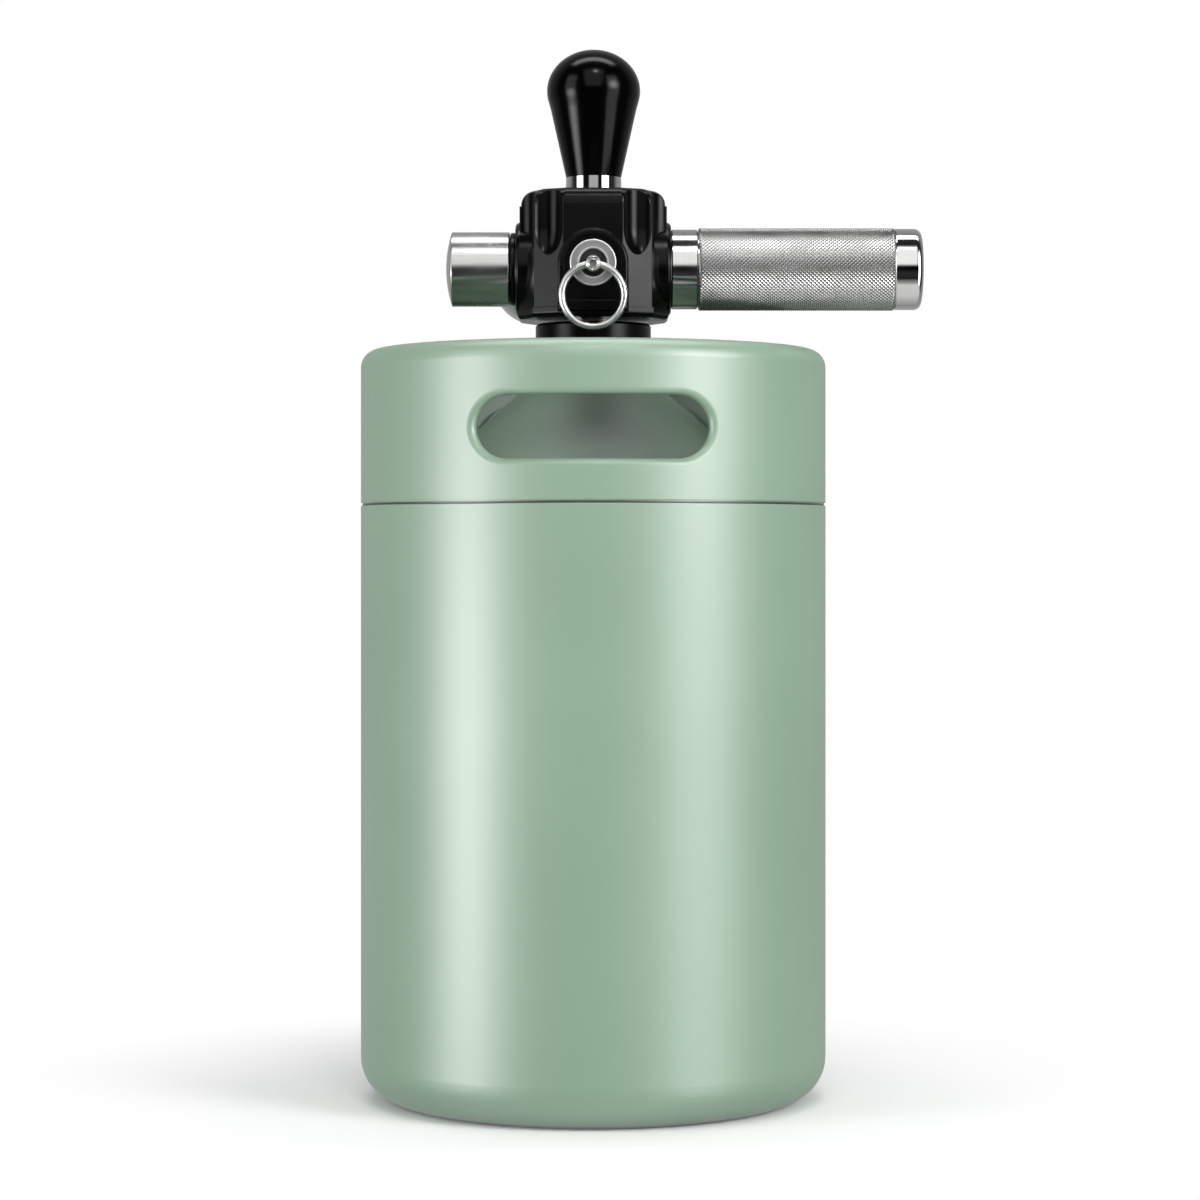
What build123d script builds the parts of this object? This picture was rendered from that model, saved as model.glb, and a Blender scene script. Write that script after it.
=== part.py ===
from build123d import *
import os
from math import atan2, degrees, hypot, radians, sqrt, tan

os.makedirs("parts", exist_ok=True)

# Mini keg with a gas and tap head. Millimetres, +Z up, origin on the floor at the keg's axis.
# The relief valve faces -Y, the gas cartridge +X, the pressure knob -X and the faucet +Y.

# Clearances
fit_gap = 0.05  # between pieces that are fixed together
run_gap = 0.08  # a shaft or plug in its own bore
thread_gap = 0.2  # a thread that is undone in use
free_gap = 0.3  # between pieces that move apart
ring_squeeze = 0.08  # what a ring stands clear of its groove on each side
small_edge = 0.4  # broken edge of a turned piece
near = 0.01  # how close an edge's radius must be to be picked

# Keg shell
keg_r = 82.5
shell_wall = 1.2
body_top = 210.0  # where the chime stands on the shoulder
foot_corner = 15.0
foot_flat = 7.5  # width of the level foot ring
foot_dome = 9.0  # how far the bottom is domed in
body_edge = 0.6
step_height = 2.0  # upstand on the shoulder that centres the chime
shoulder_land = 11.6  # level ring between the upstand and the shoulder cone
neck_rise = 43.0  # from the body's top to the land that carries the neck
neck_land = 2.5  # that land's width outside the neck

# Chime
chime_high = 55.0
rim_round = 6.3
rim_turn_in = 4.2  # radius of the rolled edge on its inner side
seam_height = 0.9
seam_depth = 0.6
slot_rise = 25.3  # from the body's top to the middle of a hand slot
slot_long = 78.0
slot_high = 21.5
slot_lip = 3.0  # width of the pressed-in edge around a hand slot
slot_lip_depth = 4.0
slot_round = 2.2

# Threaded neck
neck_thread_r = 17.0
neck_wall = 4.0
neck_base_step = 3.0
neck_base_high = 2.5
neck_spigot_step = 1.0  # how far the pressed-in end stands inside the thread
neck_high = 11.0
thread_pitch = 2.0
thread_depth = 0.7

# Coupling collar, tailpiece and seal
collar_wall = 3.3
collar_drop = 7.5  # how far the collar reaches down over the neck
collar_web = 4.6
collar_chamfer = 0.8
collar_grips = 24
collar_grip_r = 1.1
seal_thick = 2.0
seal_wall = 3.2
tail_play = 1.0  # between the tailpiece and the neck's bore
tail_wall = 4.0
tail_flange = 3.5
tail_lip = 4.0  # how far the tailpiece reaches into the neck

# Head block
head_gap = 1.1  # between the collar and the head
head_high = 45.5
port_rise = 18.5  # from the head's underside to the port axes
pocket_deep = 10.5  # tailpiece pocket
tail_room = 2.0  # gas room over the tailpiece
port_deep = 11.0  # from the inner ends of the screwed-in pieces to the port facets
facet_step = 5.3  # how much nearer the axis the corner edges stand
facet_inset = 15.7  # how much less than flat_out half a port facet's width is
crown_high = 5.6  # the rounded crown above the facets
crown_inset = 0.6  # how far the crown stands inside the facets
top_round = 5.2
panel_round = 0.5
flange_height = 3.5
flange_step = 0.7
flange_round = 1.8
flute_r = 6.6
flute_depth = 2.9
flute_rise = 3.2  # from the port axes to the flutes' tips
flute_run = 9.3  # length of the rounded end of a flute
side_boss_r = 16.6
side_boss_out = 1.6  # how far the side bosses stand out of the port facets
side_boss_round = 1.6
arch_r = 12.3
arch_out = 3.0
arch_round = 1.2
arch_recess_r = 10.0
arch_recess = 1.8
arch_recess_low = 5.5  # how far the recess stops above the head's underside
pocket_wall = 2.0  # how much further out than the tailpiece the port pockets start
pocket_play = 1.0  # left behind a piece at the end of its pocket

# Dip tube and liquid way
dip_r = 4.0
dip_wall = 1.25
dip_grip = 4.0  # length of the tube held in the head
dip_clear = 3.5  # between the tube's foot and the keg's bottom
dip_ring_r = 0.75

# Regulator, on the -X port
bonnet_thread_r = 10.95
bonnet_flange_step = 2.05
bonnet_flange = 1.8
bonnet_tube_step = 0.95
bonnet_tube_wall = 2.0
bonnet_reach = 17.4  # from the boss to the bonnet's end
bonnet_end_wall = 2.5
key_wide = 2.2
key_deep = 1.0
knob_wall = 3.2
knob_reach = 5.2  # from the bonnet's end to the knob's outer edge
knob_dome = 2.1
knob_end_wall = 5.0
knob_edge_round = 0.5
spindle_r = 3.0
spindle_grip = 4.0  # length of the spindle held in the knob
spindle_collar_step = 2.5
spindle_collar = 2.0
screw_r = 2.5  # thread that drives the spring cup
screw_reach = 16.0  # from the bonnet's end to the screw's tip
grub_r = 1.5
grub_hex = 1.5
cup_play = 0.4
cup_floor = 1.8
cup_hub_wall = 1.7
cup_hub = 4.0
piston_len = 6.0
piston_inset = 3.2  # from the bonnet's inner end to the piston
piston_pin_r = 1.2
piston_pin_len = 8.2
piston_seat_r = 4.0
piston_ring_r = 0.8
spring_coils = 6
spring_inset = 2.0  # from the bonnet's bore to the middle of the wire
spring_wire_r = 0.7
valve_bore_r = 3.0
valve_bore_len = 6.0
valve_hole_r = 1.6
valve_seat_len = 2.5
gas_way_rise = 6.0  # high pressure way over the port axes
gas_way_r = 1.0
low_gas_drop = 1.2  # low pressure way under the roof of the tailpiece pocket

# Gas inlet and cartridge, on the +X port
adapter_thread_r = 8.95
adapter_step = 1.75  # how far the adapter stands out past its spigot
adapter_len = 9.5
adapter_bevel = 0.5
spigot_wall = 1.2
spigot_len = 10.9
inlet_ring_inset = 2.3
inlet_ring_r = 0.75
pin_inset = 6.5  # from the adapter's inner end to the pin's head
pin_len = 5.5
pin_r = 3.0
needle_r = 0.9
needle_len = 4.1
needle_bore_r = 0.4
pierce_seal_thick = 1.7
cartridge_r = 10.9
cartridge_len = 88.5
cartridge_neck_r = 4.35
cartridge_neck = 9.5
cartridge_shoulder = 13.0
cartridge_wall = 1.4
sleeve_play = 0.5
sleeve_wall = 3.3
sleeve_short = 5.2  # how far the sleeve stops short of the cartridge's end
sleeve_bevel = 0.4
cap_step = 0.3
cap_gap = 0.4
cap_round = 2.6
cap_spigot_wall = 1.5
cap_spigot = 8.5
cap_wall = 2.3
cap_ring_r = 0.45
pad_step = 1.9
pad_thick = 1.9

# Relief valve, on the -Y port
relief_pocket_r = 7.0
relief_wall = 1.0  # how much further out than the tailpiece the relief pocket starts
bush_flange_step = 1.1
bush_out = 1.2  # how far the bush stands out of the arch
bush_dish_r = 4.85
bush_dish = 1.2
bush_bore_step = 2.0
bush_wall = 1.4
relief_hole_r = 2.2
relief_hole_len = 4.0
relief_drop_r = 1.5
seat_thick = 1.6
poppet_r = 4.2
poppet_thick = 1.5
stem_r = 2.5
stem_flange_play = 0.5
stem_flange = 1.2
eye_r = 2.7
eye_drop = 0.8  # the eye hangs this far below the port's axis
eye_thick = 4.8
eye_hole_r = 1.6
eye_hex = 1.2
eye_hex_deep = 0.8
pull_ring_r = 10.8
pull_wire_r = 1.2
relief_coils = 6
relief_spring_inset = 1.3
relief_wire_r = 0.45

# Faucet, on the +Y port
shank_thread_r = 7.95
shank_bore_r = 3.0
shank_shoulder_r = 11.0
shank_shoulder = 3.0
shank_neck_r = 8.5
shank_flange = 3.0
shank_flange_step = 0.4
shank_reach = 15.0  # from the arch to the shank's end
shank_seal = 1.5
shank_ring_inset = 2.5
shank_ring_r = 0.75
nut_wall = 2.9
nut_behind = 7.5
nut_ahead = 7.0
nut_web = 4.2
nut_bevel = 0.8
nut_holes = 4
nut_hole_r = 2.2
nut_hole_deep = 2.0
body_thread_r = 10.9
barrel_step = 1.1
barrel_gap = 0.4
taper_ahead = 7.0  # from the lever's axis to the start of the nose's taper
nose_wall = 2.6
nose_land = 4.0
body_ahead = 22.0  # from the lever's axis to the nose's end
cavity_r = 5.0
flow_behind = 8.0  # from the lever's axis back to the flow plug's
flow_boss_wall = 3.0
flow_boss_out = 8.4
flow_plug_r = 4.0
flow_plug_inset = 0.6
flow_ring_inset = 4.9
flow_ring_r = 0.6
flow_drive = 4.4
flow_drive_len = 7.0
dome_r = 15.5
dome_high = 15.4
dome_rim = 1.2
tab_wide = 11.0
tab_reach = 31.0
tab_thick = 4.0
flow_screw_r = 1.5
flow_screw_head_r = 3.0
flow_screw_head = 1.6

# Tap lever and valve
pivot_ahead = 22.0  # from the shank's end to the lever's axis
ball_r = 6.0
lever_open = 32.0  # degrees that the lever opens
arm_len = 14.0
arm_r = 1.6
arm_tip_r = 2.2
lever_neck_r = 3.0
lever_shoulder_r = 5.5
lever_neck = 10.3  # from the ball's centre to the shoulder
lever_shoulder = 2.9
turret_rise = 1.5  # over the ball's centre
turret_play = 2.0
turret_wall = 2.0
throat_play = 0.9
washer_drop = 5.5  # under the ball's centre
washer_thick = 1.7
washer_play = 0.2
faucet_bonnet_wall = 2.0
faucet_bonnet_drop = 1.6
faucet_bonnet_rise = 4.5
faucet_bonnet_bevel = 2.0
lip_rise = 2.6
lip_hold = 0.25  # the bonnet's lip is this much smaller than the ball
lip_flare = 1.2
lip_relief = 0.5
shaft_play = 0.4
shaft_block = 12.0
shaft_flat = 2.5  # the block's flat top above the port's axis
shaft_side = 3.4
rod_r = 1.8
slot_play = 0.4
seat_disc_play = 0.5
seat_disc_thick = 2.3

# Spout
spout_grip = 5.7  # length screwed into the nose
spout_thread_r = 7.0
spout_collar_r = 9.5
spout_collar = 3.0
spout_r = 6.5
spout_bore_r = 3.5
spout_bend = 15.0
spout_lead = 0.5
spout_drop = 44.0  # from the port axes to the spout's tip
spout_tip_r = 5.6
spout_tip = 9.0
spout_ring_r = 0.75

# Handle
ferrule_high = 12.7
ferrule_flare = 5.8
ferrule_low_r = 7.6
ferrule_r = 10.4
handle_low_r = 10.3
handle_taper = 25.4
handle_waist_r = 16.0
handle_swell = 7.2  # from the waist to the widest place
handle_ball_r = 17.5
handle_crown = 15.5
lever_thread_r = 4.76
lever_grip = 14.1  # length of the lever held in the handle
insert_wall = 2.04
insert_end_wall = 3.0

# Levels and radii that follow from the sizes above: keg
foot_ring_r = keg_r - foot_corner - foot_flat
rim_z = body_top + chime_high
slot_z = body_top + slot_rise
neck_seat_z = body_top + neck_rise
neck_top = neck_seat_z + neck_high
neck_bore_r = neck_thread_r - neck_wall
neck_base_r = neck_thread_r + neck_base_step
neck_spigot_r = neck_thread_r - neck_spigot_step
neck_seat_r = neck_base_r + neck_land

# Coupling and head
seal_top = neck_top + seal_thick
tail_flange_top = seal_top + tail_flange
tail_r = neck_bore_r - tail_play
tail_bore_r = tail_r - tail_wall
collar_r = neck_thread_r + thread_gap + collar_wall
collar_bottom = neck_top - collar_drop
collar_top = tail_flange_top + free_gap + collar_web
head_base = collar_top + head_gap
head_top = head_base + head_high
port_z = head_base + port_rise
socket_top = head_base + pocket_deep
tail_top = socket_top - tail_room
flute_tip = port_z + flute_rise
pocket_floor = tail_r + pocket_wall
pocket_end = pocket_floor + pocket_play
flat_out = pocket_end + port_deep
corner_out = flat_out - facet_step
flat_half = flat_out - facet_inset
side_face = flat_out + side_boss_out
arch_face = flat_out + arch_out
dip_top = socket_top + dip_grip
dip_bore_r = dip_r - dip_wall

# Regulator
bonnet_flange_r = bonnet_thread_r + bonnet_flange_step
bonnet_tube_r = bonnet_thread_r - bonnet_tube_step
bonnet_bore_r = bonnet_tube_r - bonnet_tube_wall
bonnet_end = side_face + bonnet_reach
knob_r = bonnet_tube_r + knob_wall
knob_edge = bonnet_end + knob_reach
spindle_collar_r = spindle_r + spindle_collar_step
screw_end = bonnet_end - screw_reach
cup_r = bonnet_bore_r - cup_play
cup_hub_r = screw_r + cup_hub_wall
piston_inner = pocket_end + piston_inset
piston_pin_end = piston_inner - piston_pin_len
spring_mean_r = bonnet_bore_r - spring_inset
valve_bore_end = pocket_floor - valve_bore_len
gas_way_z = port_z + gas_way_rise
low_gas_z = socket_top - low_gas_drop

# Gas inlet and cartridge
spigot_r = cartridge_r + free_gap + spigot_wall
adapter_r = spigot_r + adapter_step
adapter_end = side_face + adapter_len
spigot_end = adapter_end + spigot_len
inlet_ring_at = side_face - inlet_ring_inset
pin_seat = pocket_end + pin_inset
pin_foot = pin_seat - pin_len
needle_end = pin_seat + needle_len
cartridge_tip = pin_seat + pierce_seal_thick + free_gap
cartridge_tail = cartridge_tip + cartridge_len
sleeve_bore_r = cartridge_r + sleeve_play
sleeve_r = sleeve_bore_r + sleeve_wall
sleeve_start = adapter_end + free_gap
sleeve_end = cartridge_tail - sleeve_short
cap_r = sleeve_r - cap_step
cap_end = cartridge_tail + free_gap + pad_thick + cap_wall
cap_spigot_r = sleeve_bore_r + cap_spigot_wall
pad_r = cartridge_r - pad_step

# Relief valve
relief_floor = tail_r + relief_wall
relief_hole_inner = relief_floor - relief_hole_len
bush_r = relief_pocket_r + bush_flange_step
bush_face = arch_face + bush_out
bush_bore_r = relief_pocket_r - bush_bore_step
stem_flange_r = bush_bore_r - stem_flange_play
eye_start = bush_face + free_gap
eye_front = eye_start + eye_thick
eye_out = (eye_start + eye_front) / 2
relief_spring_r = bush_bore_r - relief_spring_inset

# Faucet
shank_end = arch_face + shank_reach
shank_flange_r = body_thread_r - shank_flange_step
shank_ring_at = arch_face - shank_ring_inset
nut_r = body_thread_r + nut_wall
nut_start = shank_end - nut_behind
nut_end = shank_end + nut_ahead
barrel_r = body_thread_r + barrel_step
barrel_start = nut_end + barrel_gap
pivot_y = shank_end + pivot_ahead
pivot_z = port_z + arm_len
barrel_taper = pivot_y + taper_ahead
body_end = pivot_y + body_ahead
nose_r = spout_thread_r + nose_wall
spout_seat = body_end - spout_grip
spout_low = port_z - spout_drop
flow_y = pivot_y - flow_behind
flow_boss_r = flow_plug_r + flow_boss_wall
flow_boss_end = barrel_r + flow_boss_out
flow_plug_inner = cavity_r + flow_plug_inset
flow_ring_at = flow_boss_end - flow_ring_inset

# Lever and handle
turret_bore_r = ball_r + turret_play
turret_r = turret_bore_r + turret_wall
turret_top = pivot_z + turret_rise
throat_r = ball_r + throat_play
washer_z = pivot_z - washer_drop
washer_hole_r = ball_r - washer_play
faucet_bonnet_r = turret_r + faucet_bonnet_wall
faucet_bonnet_low = pivot_z - faucet_bonnet_drop
faucet_bonnet_top = pivot_z + faucet_bonnet_rise
lip_z = pivot_z + lip_rise
lip_r = ball_r - lip_hold
shaft_r = cavity_r - shaft_play
seat_disc_r = cavity_r - seat_disc_play
lever_shoulder_z = pivot_z + lever_neck
ferrule_low = lever_shoulder_z + lever_shoulder
ferrule_wide = ferrule_low + ferrule_flare
handle_low = ferrule_low + ferrule_high
handle_waist_z = handle_low + handle_taper
handle_ball_z = handle_waist_z + handle_swell
handle_top = handle_ball_z + handle_crown
lever_thread_end = handle_low + lever_grip
insert_r = lever_thread_r + insert_wall
insert_end = lever_thread_end + insert_end_wall

# Section planes: local x runs along the piece's axis, local y outwards from it
upright = Plane(origin=(0, 0, 0), x_dir=(0, 0, 1), z_dir=(0, 1, 0))
left = Plane(origin=(0, 0, port_z), x_dir=(-1, 0, 0), z_dir=(0, 1, 0))
right = Plane(origin=(0, 0, port_z), x_dir=(1, 0, 0), z_dir=(0, -1, 0))
front = Plane(origin=(0, 0, port_z), x_dir=(0, -1, 0), z_dir=(-1, 0, 0))
back = Plane(origin=(0, 0, port_z), x_dir=(0, 1, 0), z_dir=(1, 0, 0))
handle_section = Plane(origin=(0, pivot_y, 0), x_dir=(0, 0, 1), z_dir=(0, 1, 0))
flow_section = Plane(origin=(0, flow_y, port_z), x_dir=(-1, 0, 0), z_dir=(0, 1, 0))

# Facing planes: local z points out of the port
left_port = Plane(origin=(0, 0, port_z), z_dir=(-1, 0, 0))
right_port = Plane(origin=(0, 0, port_z), z_dir=(1, 0, 0))
front_port = Plane(origin=(0, 0, port_z), x_dir=(1, 0, 0), z_dir=(0, -1, 0))
back_port = Plane(origin=(0, 0, port_z), x_dir=(-1, 0, 0), z_dir=(0, 1, 0))
flow_port = Plane(origin=(0, flow_y, port_z), z_dir=(-1, 0, 0))

# Turning axes
cross_axis = Axis((0, 0, port_z), (1, 0, 0))
through_axis = Axis((0, 0, port_z), (0, 1, 0))
lever_axis = Axis((0, pivot_y, 0), (0, 0, 1))
flow_axis = Axis((0, flow_y, port_z), (1, 0, 0))


def save(piece, name):
    piece.part.label = name
    export_step(piece.part, f"parts/{name}.step")


def band(start, end, inner, outer, mode=Mode.ADD):
    # One step of a turned section: start to end along the axis, inner to outer in radius
    with Locations(((start + end) / 2, (inner + outer) / 2)):
        Rectangle(end - start, outer - inner, mode=mode)


def thread_rings(start, end, radius):
    # V grooves of a turned section, one pitch apart
    count = int((end - start) / thread_pitch)
    for turn in range(count):
        middle = start + (turn + 0.5) * thread_pitch
        with Locations((middle, radius)):
            Rectangle(
                thread_depth * sqrt(2), thread_depth * sqrt(2), rotation=45, mode=Mode.SUBTRACT
            )


# ---------------------------------------------------------------- keg

cone_foot_z = body_top + step_height
chime_bore_r = keg_r - shell_wall
step_r = chime_bore_r - fit_gap
cone_foot_r = step_r - shoulder_land
cone_angle = atan2(neck_seat_z - cone_foot_z, cone_foot_r - neck_seat_r)
dome_arc_r = (foot_ring_r**2 + foot_dome**2) / (2 * foot_dome)
# The cone's corners lie this much nearer the axis on the inner side of the wall
cone_inset = shell_wall * tan(cone_angle / 2)

with BuildPart() as vessel:
    with BuildSketch(upright):
        with BuildLine():
            RadiusArc((foot_dome, 0), (0, foot_ring_r), -dome_arc_r)
            Line((0, foot_ring_r), (0, keg_r - foot_corner))
            CenterArc((foot_corner, keg_r - foot_corner), foot_corner, 90, 90)
            Polyline(
                (foot_corner, keg_r),
                (body_top, keg_r),
                (body_top, step_r),
                (cone_foot_z, step_r),
                (cone_foot_z, cone_foot_r),
                (neck_seat_z, neck_seat_r),
                (neck_seat_z, neck_spigot_r + fit_gap),
                (neck_seat_z - shell_wall, neck_spigot_r + fit_gap),
                (neck_seat_z - shell_wall, neck_seat_r - cone_inset),
                (cone_foot_z - shell_wall, cone_foot_r - cone_inset),
                (cone_foot_z - shell_wall, keg_r - 2 * shell_wall),
                (body_top - 2 * shell_wall, keg_r - 2 * shell_wall),
                (body_top - 3 * shell_wall, keg_r - shell_wall),
                (foot_corner, keg_r - shell_wall),
            )
            CenterArc(
                (foot_corner, keg_r - foot_corner), foot_corner - shell_wall, 90, 90
            )
            Line((shell_wall, keg_r - foot_corner), (shell_wall, foot_ring_r))
            RadiusArc((shell_wall, foot_ring_r), (foot_dome + shell_wall, 0), dome_arc_r)
            Line((foot_dome + shell_wall, 0), (foot_dome, 0))
        make_face()
    revolve(axis=Axis.Z)
    fillet(
        vessel.edges()
        .filter_by(GeomType.CIRCLE)
        .filter_by(lambda e: abs(e.radius - keg_r) < near)
        .sort_by(Axis.Z)[-1],
        body_edge,
    )
save(vessel, "vessel")

rim_crest_r = keg_r - rim_round
with BuildPart() as top_chime:
    with BuildSketch(upright):
        with BuildLine():
            Polyline(
                (rim_z - rim_round, keg_r),
                (body_top + seam_height, keg_r),
                (body_top + seam_height, keg_r - seam_depth),
                (body_top, keg_r - seam_depth),
                (body_top, chime_bore_r),
                (rim_z - rim_round, chime_bore_r),
            )
            CenterArc((rim_z - rim_round, rim_crest_r), rim_round - shell_wall, 0, 90)
            CenterArc(
                (rim_z - rim_turn_in, rim_crest_r), rim_turn_in - shell_wall, -90, 90
            )
            Line(
                (rim_z - rim_turn_in, rim_crest_r - rim_turn_in + shell_wall),
                (rim_z - rim_turn_in, rim_crest_r - rim_turn_in),
            )
            CenterArc((rim_z - rim_turn_in, rim_crest_r), rim_turn_in, -90, 90)
            CenterArc((rim_z - rim_round, rim_crest_r), rim_round, 0, 90)
        make_face()
    revolve(axis=Axis.Z)
    # Pressed-in edge of the two hand slots
    with BuildSketch(Plane.XZ.offset(-keg_r)):
        with Locations((0, slot_z)):
            SlotOverall(slot_long + 2 * slot_lip, slot_high + 2 * slot_lip)
    with BuildSketch(Plane.XY.offset(body_top), mode=Mode.PRIVATE) as lip_ring:
        Circle(keg_r)
        Circle(keg_r - slot_lip_depth, mode=Mode.SUBTRACT)
    lip_block = extrude(lip_ring.sketch, amount=rim_z - body_top, mode=Mode.PRIVATE)
    lips = extrude(amount=2 * keg_r, mode=Mode.PRIVATE)
    add(lips & lip_block)
    with BuildSketch(Plane.XZ.offset(-keg_r)):
        with Locations((0, slot_z)):
            SlotOverall(slot_long, slot_high)
    extrude(amount=2 * keg_r, mode=Mode.SUBTRACT)
    slot_edges = top_chime.edges().filter_by(
        lambda e: abs(e.center().Z - slot_z) < slot_high / 2 + near
        and all(abs(hypot(v.X, v.Y) - keg_r) < 0.01 for v in e.vertices())
    )
    fillet(slot_edges, slot_round)
save(top_chime, "top_chime")

with BuildPart() as threaded_neck:
    with BuildSketch(upright):
        band(neck_seat_z - shell_wall, neck_seat_z, neck_bore_r, neck_spigot_r)
        band(neck_seat_z, neck_seat_z + neck_base_high, neck_bore_r, neck_base_r)
        band(neck_seat_z, neck_top, neck_bore_r, neck_thread_r)
        thread_rings(neck_seat_z + neck_base_high + thread_pitch / 2, neck_top, neck_thread_r)
    revolve(axis=Axis.Z)
save(threaded_neck, "threaded_neck")

# ---------------------------------------------------------------- coupling

tail_flange_r = neck_thread_r - free_gap
with BuildPart() as coupling_collar:
    with BuildSketch(upright):
        band(collar_bottom, collar_top, neck_thread_r + thread_gap, collar_r)
        band(collar_top - collar_web, collar_top, tail_r + free_gap, collar_r)
    revolve(axis=Axis.Z)
    rims = coupling_collar.edges().filter_by(GeomType.CIRCLE).filter_by(
        lambda e: abs(e.radius - collar_r) < near
    )
    chamfer(rims, collar_chamfer)
    with BuildSketch(Plane.XY.offset(collar_bottom)):
        with PolarLocations(collar_r + collar_grip_r / 2, collar_grips):
            Circle(collar_grip_r)
    extrude(amount=neck_top - collar_bottom, mode=Mode.SUBTRACT)
save(coupling_collar, "coupling_collar")

with BuildPart() as tailpiece:
    with BuildSketch(upright):
        band(seal_top, tail_flange_top, tail_bore_r, tail_flange_r)
        band(seal_top - tail_lip - seal_thick, tail_top, tail_bore_r, tail_r)
    revolve(axis=Axis.Z)
save(tailpiece, "tailpiece")

with BuildPart(Plane.XY.offset(neck_top)) as neck_seal:
    Cylinder(tail_r + fit_gap + seal_wall, seal_thick, align=(Align.CENTER, Align.CENTER, Align.MIN))
    Hole(tail_r + fit_gap)
save(neck_seal, "neck_seal")

# ---------------------------------------------------------------- head block

block_base = head_base + flange_height
corner_points = [
    (flat_half, -flat_out),
    (corner_out, -corner_out),
    (flat_out, -flat_half),
    (flat_out, flat_half),
    (corner_out, corner_out),
    (flat_half, flat_out),
    (-flat_half, flat_out),
    (-corner_out, corner_out),
    (-flat_out, flat_half),
    (-flat_out, -flat_half),
    (-corner_out, -corner_out),
    (-flat_half, -flat_out),
]


def facet_block(inset, high):
    # Twelve-sided block from the top of the foot flange up to a height
    with BuildPart() as block:
        with BuildSketch(Plane.XY.offset(block_base)):
            with BuildLine():
                Polyline(*corner_points, close=True)
            make_face()
            offset(amount=-inset, kind=Kind.INTERSECTION)
        extrude(amount=high - block_base)
        fillet(block.edges().filter_by(Axis.Z), panel_round)
    return block.part


# A flute is a round-ended groove set into the middle of each of the eight corner facets
facet_mid = Vector((flat_out + corner_out) / 2, (flat_half + corner_out) / 2)
facet_normal = Vector(corner_out - flat_half, flat_out - corner_out).normalized()
flute_centre = facet_mid + facet_normal * (flute_r - flute_depth)
flute_place_r = flute_centre.length
flute_angle = degrees(atan2(flute_centre.Y, flute_centre.X))
with BuildPart() as flute_cutter:
    with BuildSketch(upright):
        with BuildLine():
            Polyline(
                (flute_tip, 0),
                (head_top + flute_r, 0),
                (head_top + flute_r, flute_r),
                (flute_tip + flute_run, flute_r),
            )
            TangentArc(
                (flute_tip + flute_run, flute_r),
                (flute_tip, flute_r - flute_depth),
                tangent=(-1, 0),
            )
            Line((flute_tip, flute_r - flute_depth), (flute_tip, 0))
        make_face()
    revolve(axis=Axis.Z)


def arch(radius, low):
    # Round-topped outline about a port's axis, running straight down to a height
    Circle(radius)
    with Locations((0, (low - port_z) / 2)):
        Rectangle(2 * radius, port_z - low)


with BuildPart() as side_bosses:
    with BuildSketch(Plane.YZ):
        with Locations((0, port_z)):
            Circle(side_boss_r)
    extrude(amount=side_face, both=True)
    fillet(side_bosses.edges().filter_by(GeomType.CIRCLE), side_boss_round)

with BuildPart() as arches:
    for port in (front_port, back_port):
        with BuildSketch(port):
            arch(arch_r, head_base + flange_round)
        extrude(amount=arch_face)
    for side in (Axis.Y, -Axis.Y):
        fillet(arches.faces().sort_by(side)[-1].edges(), arch_round)

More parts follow.
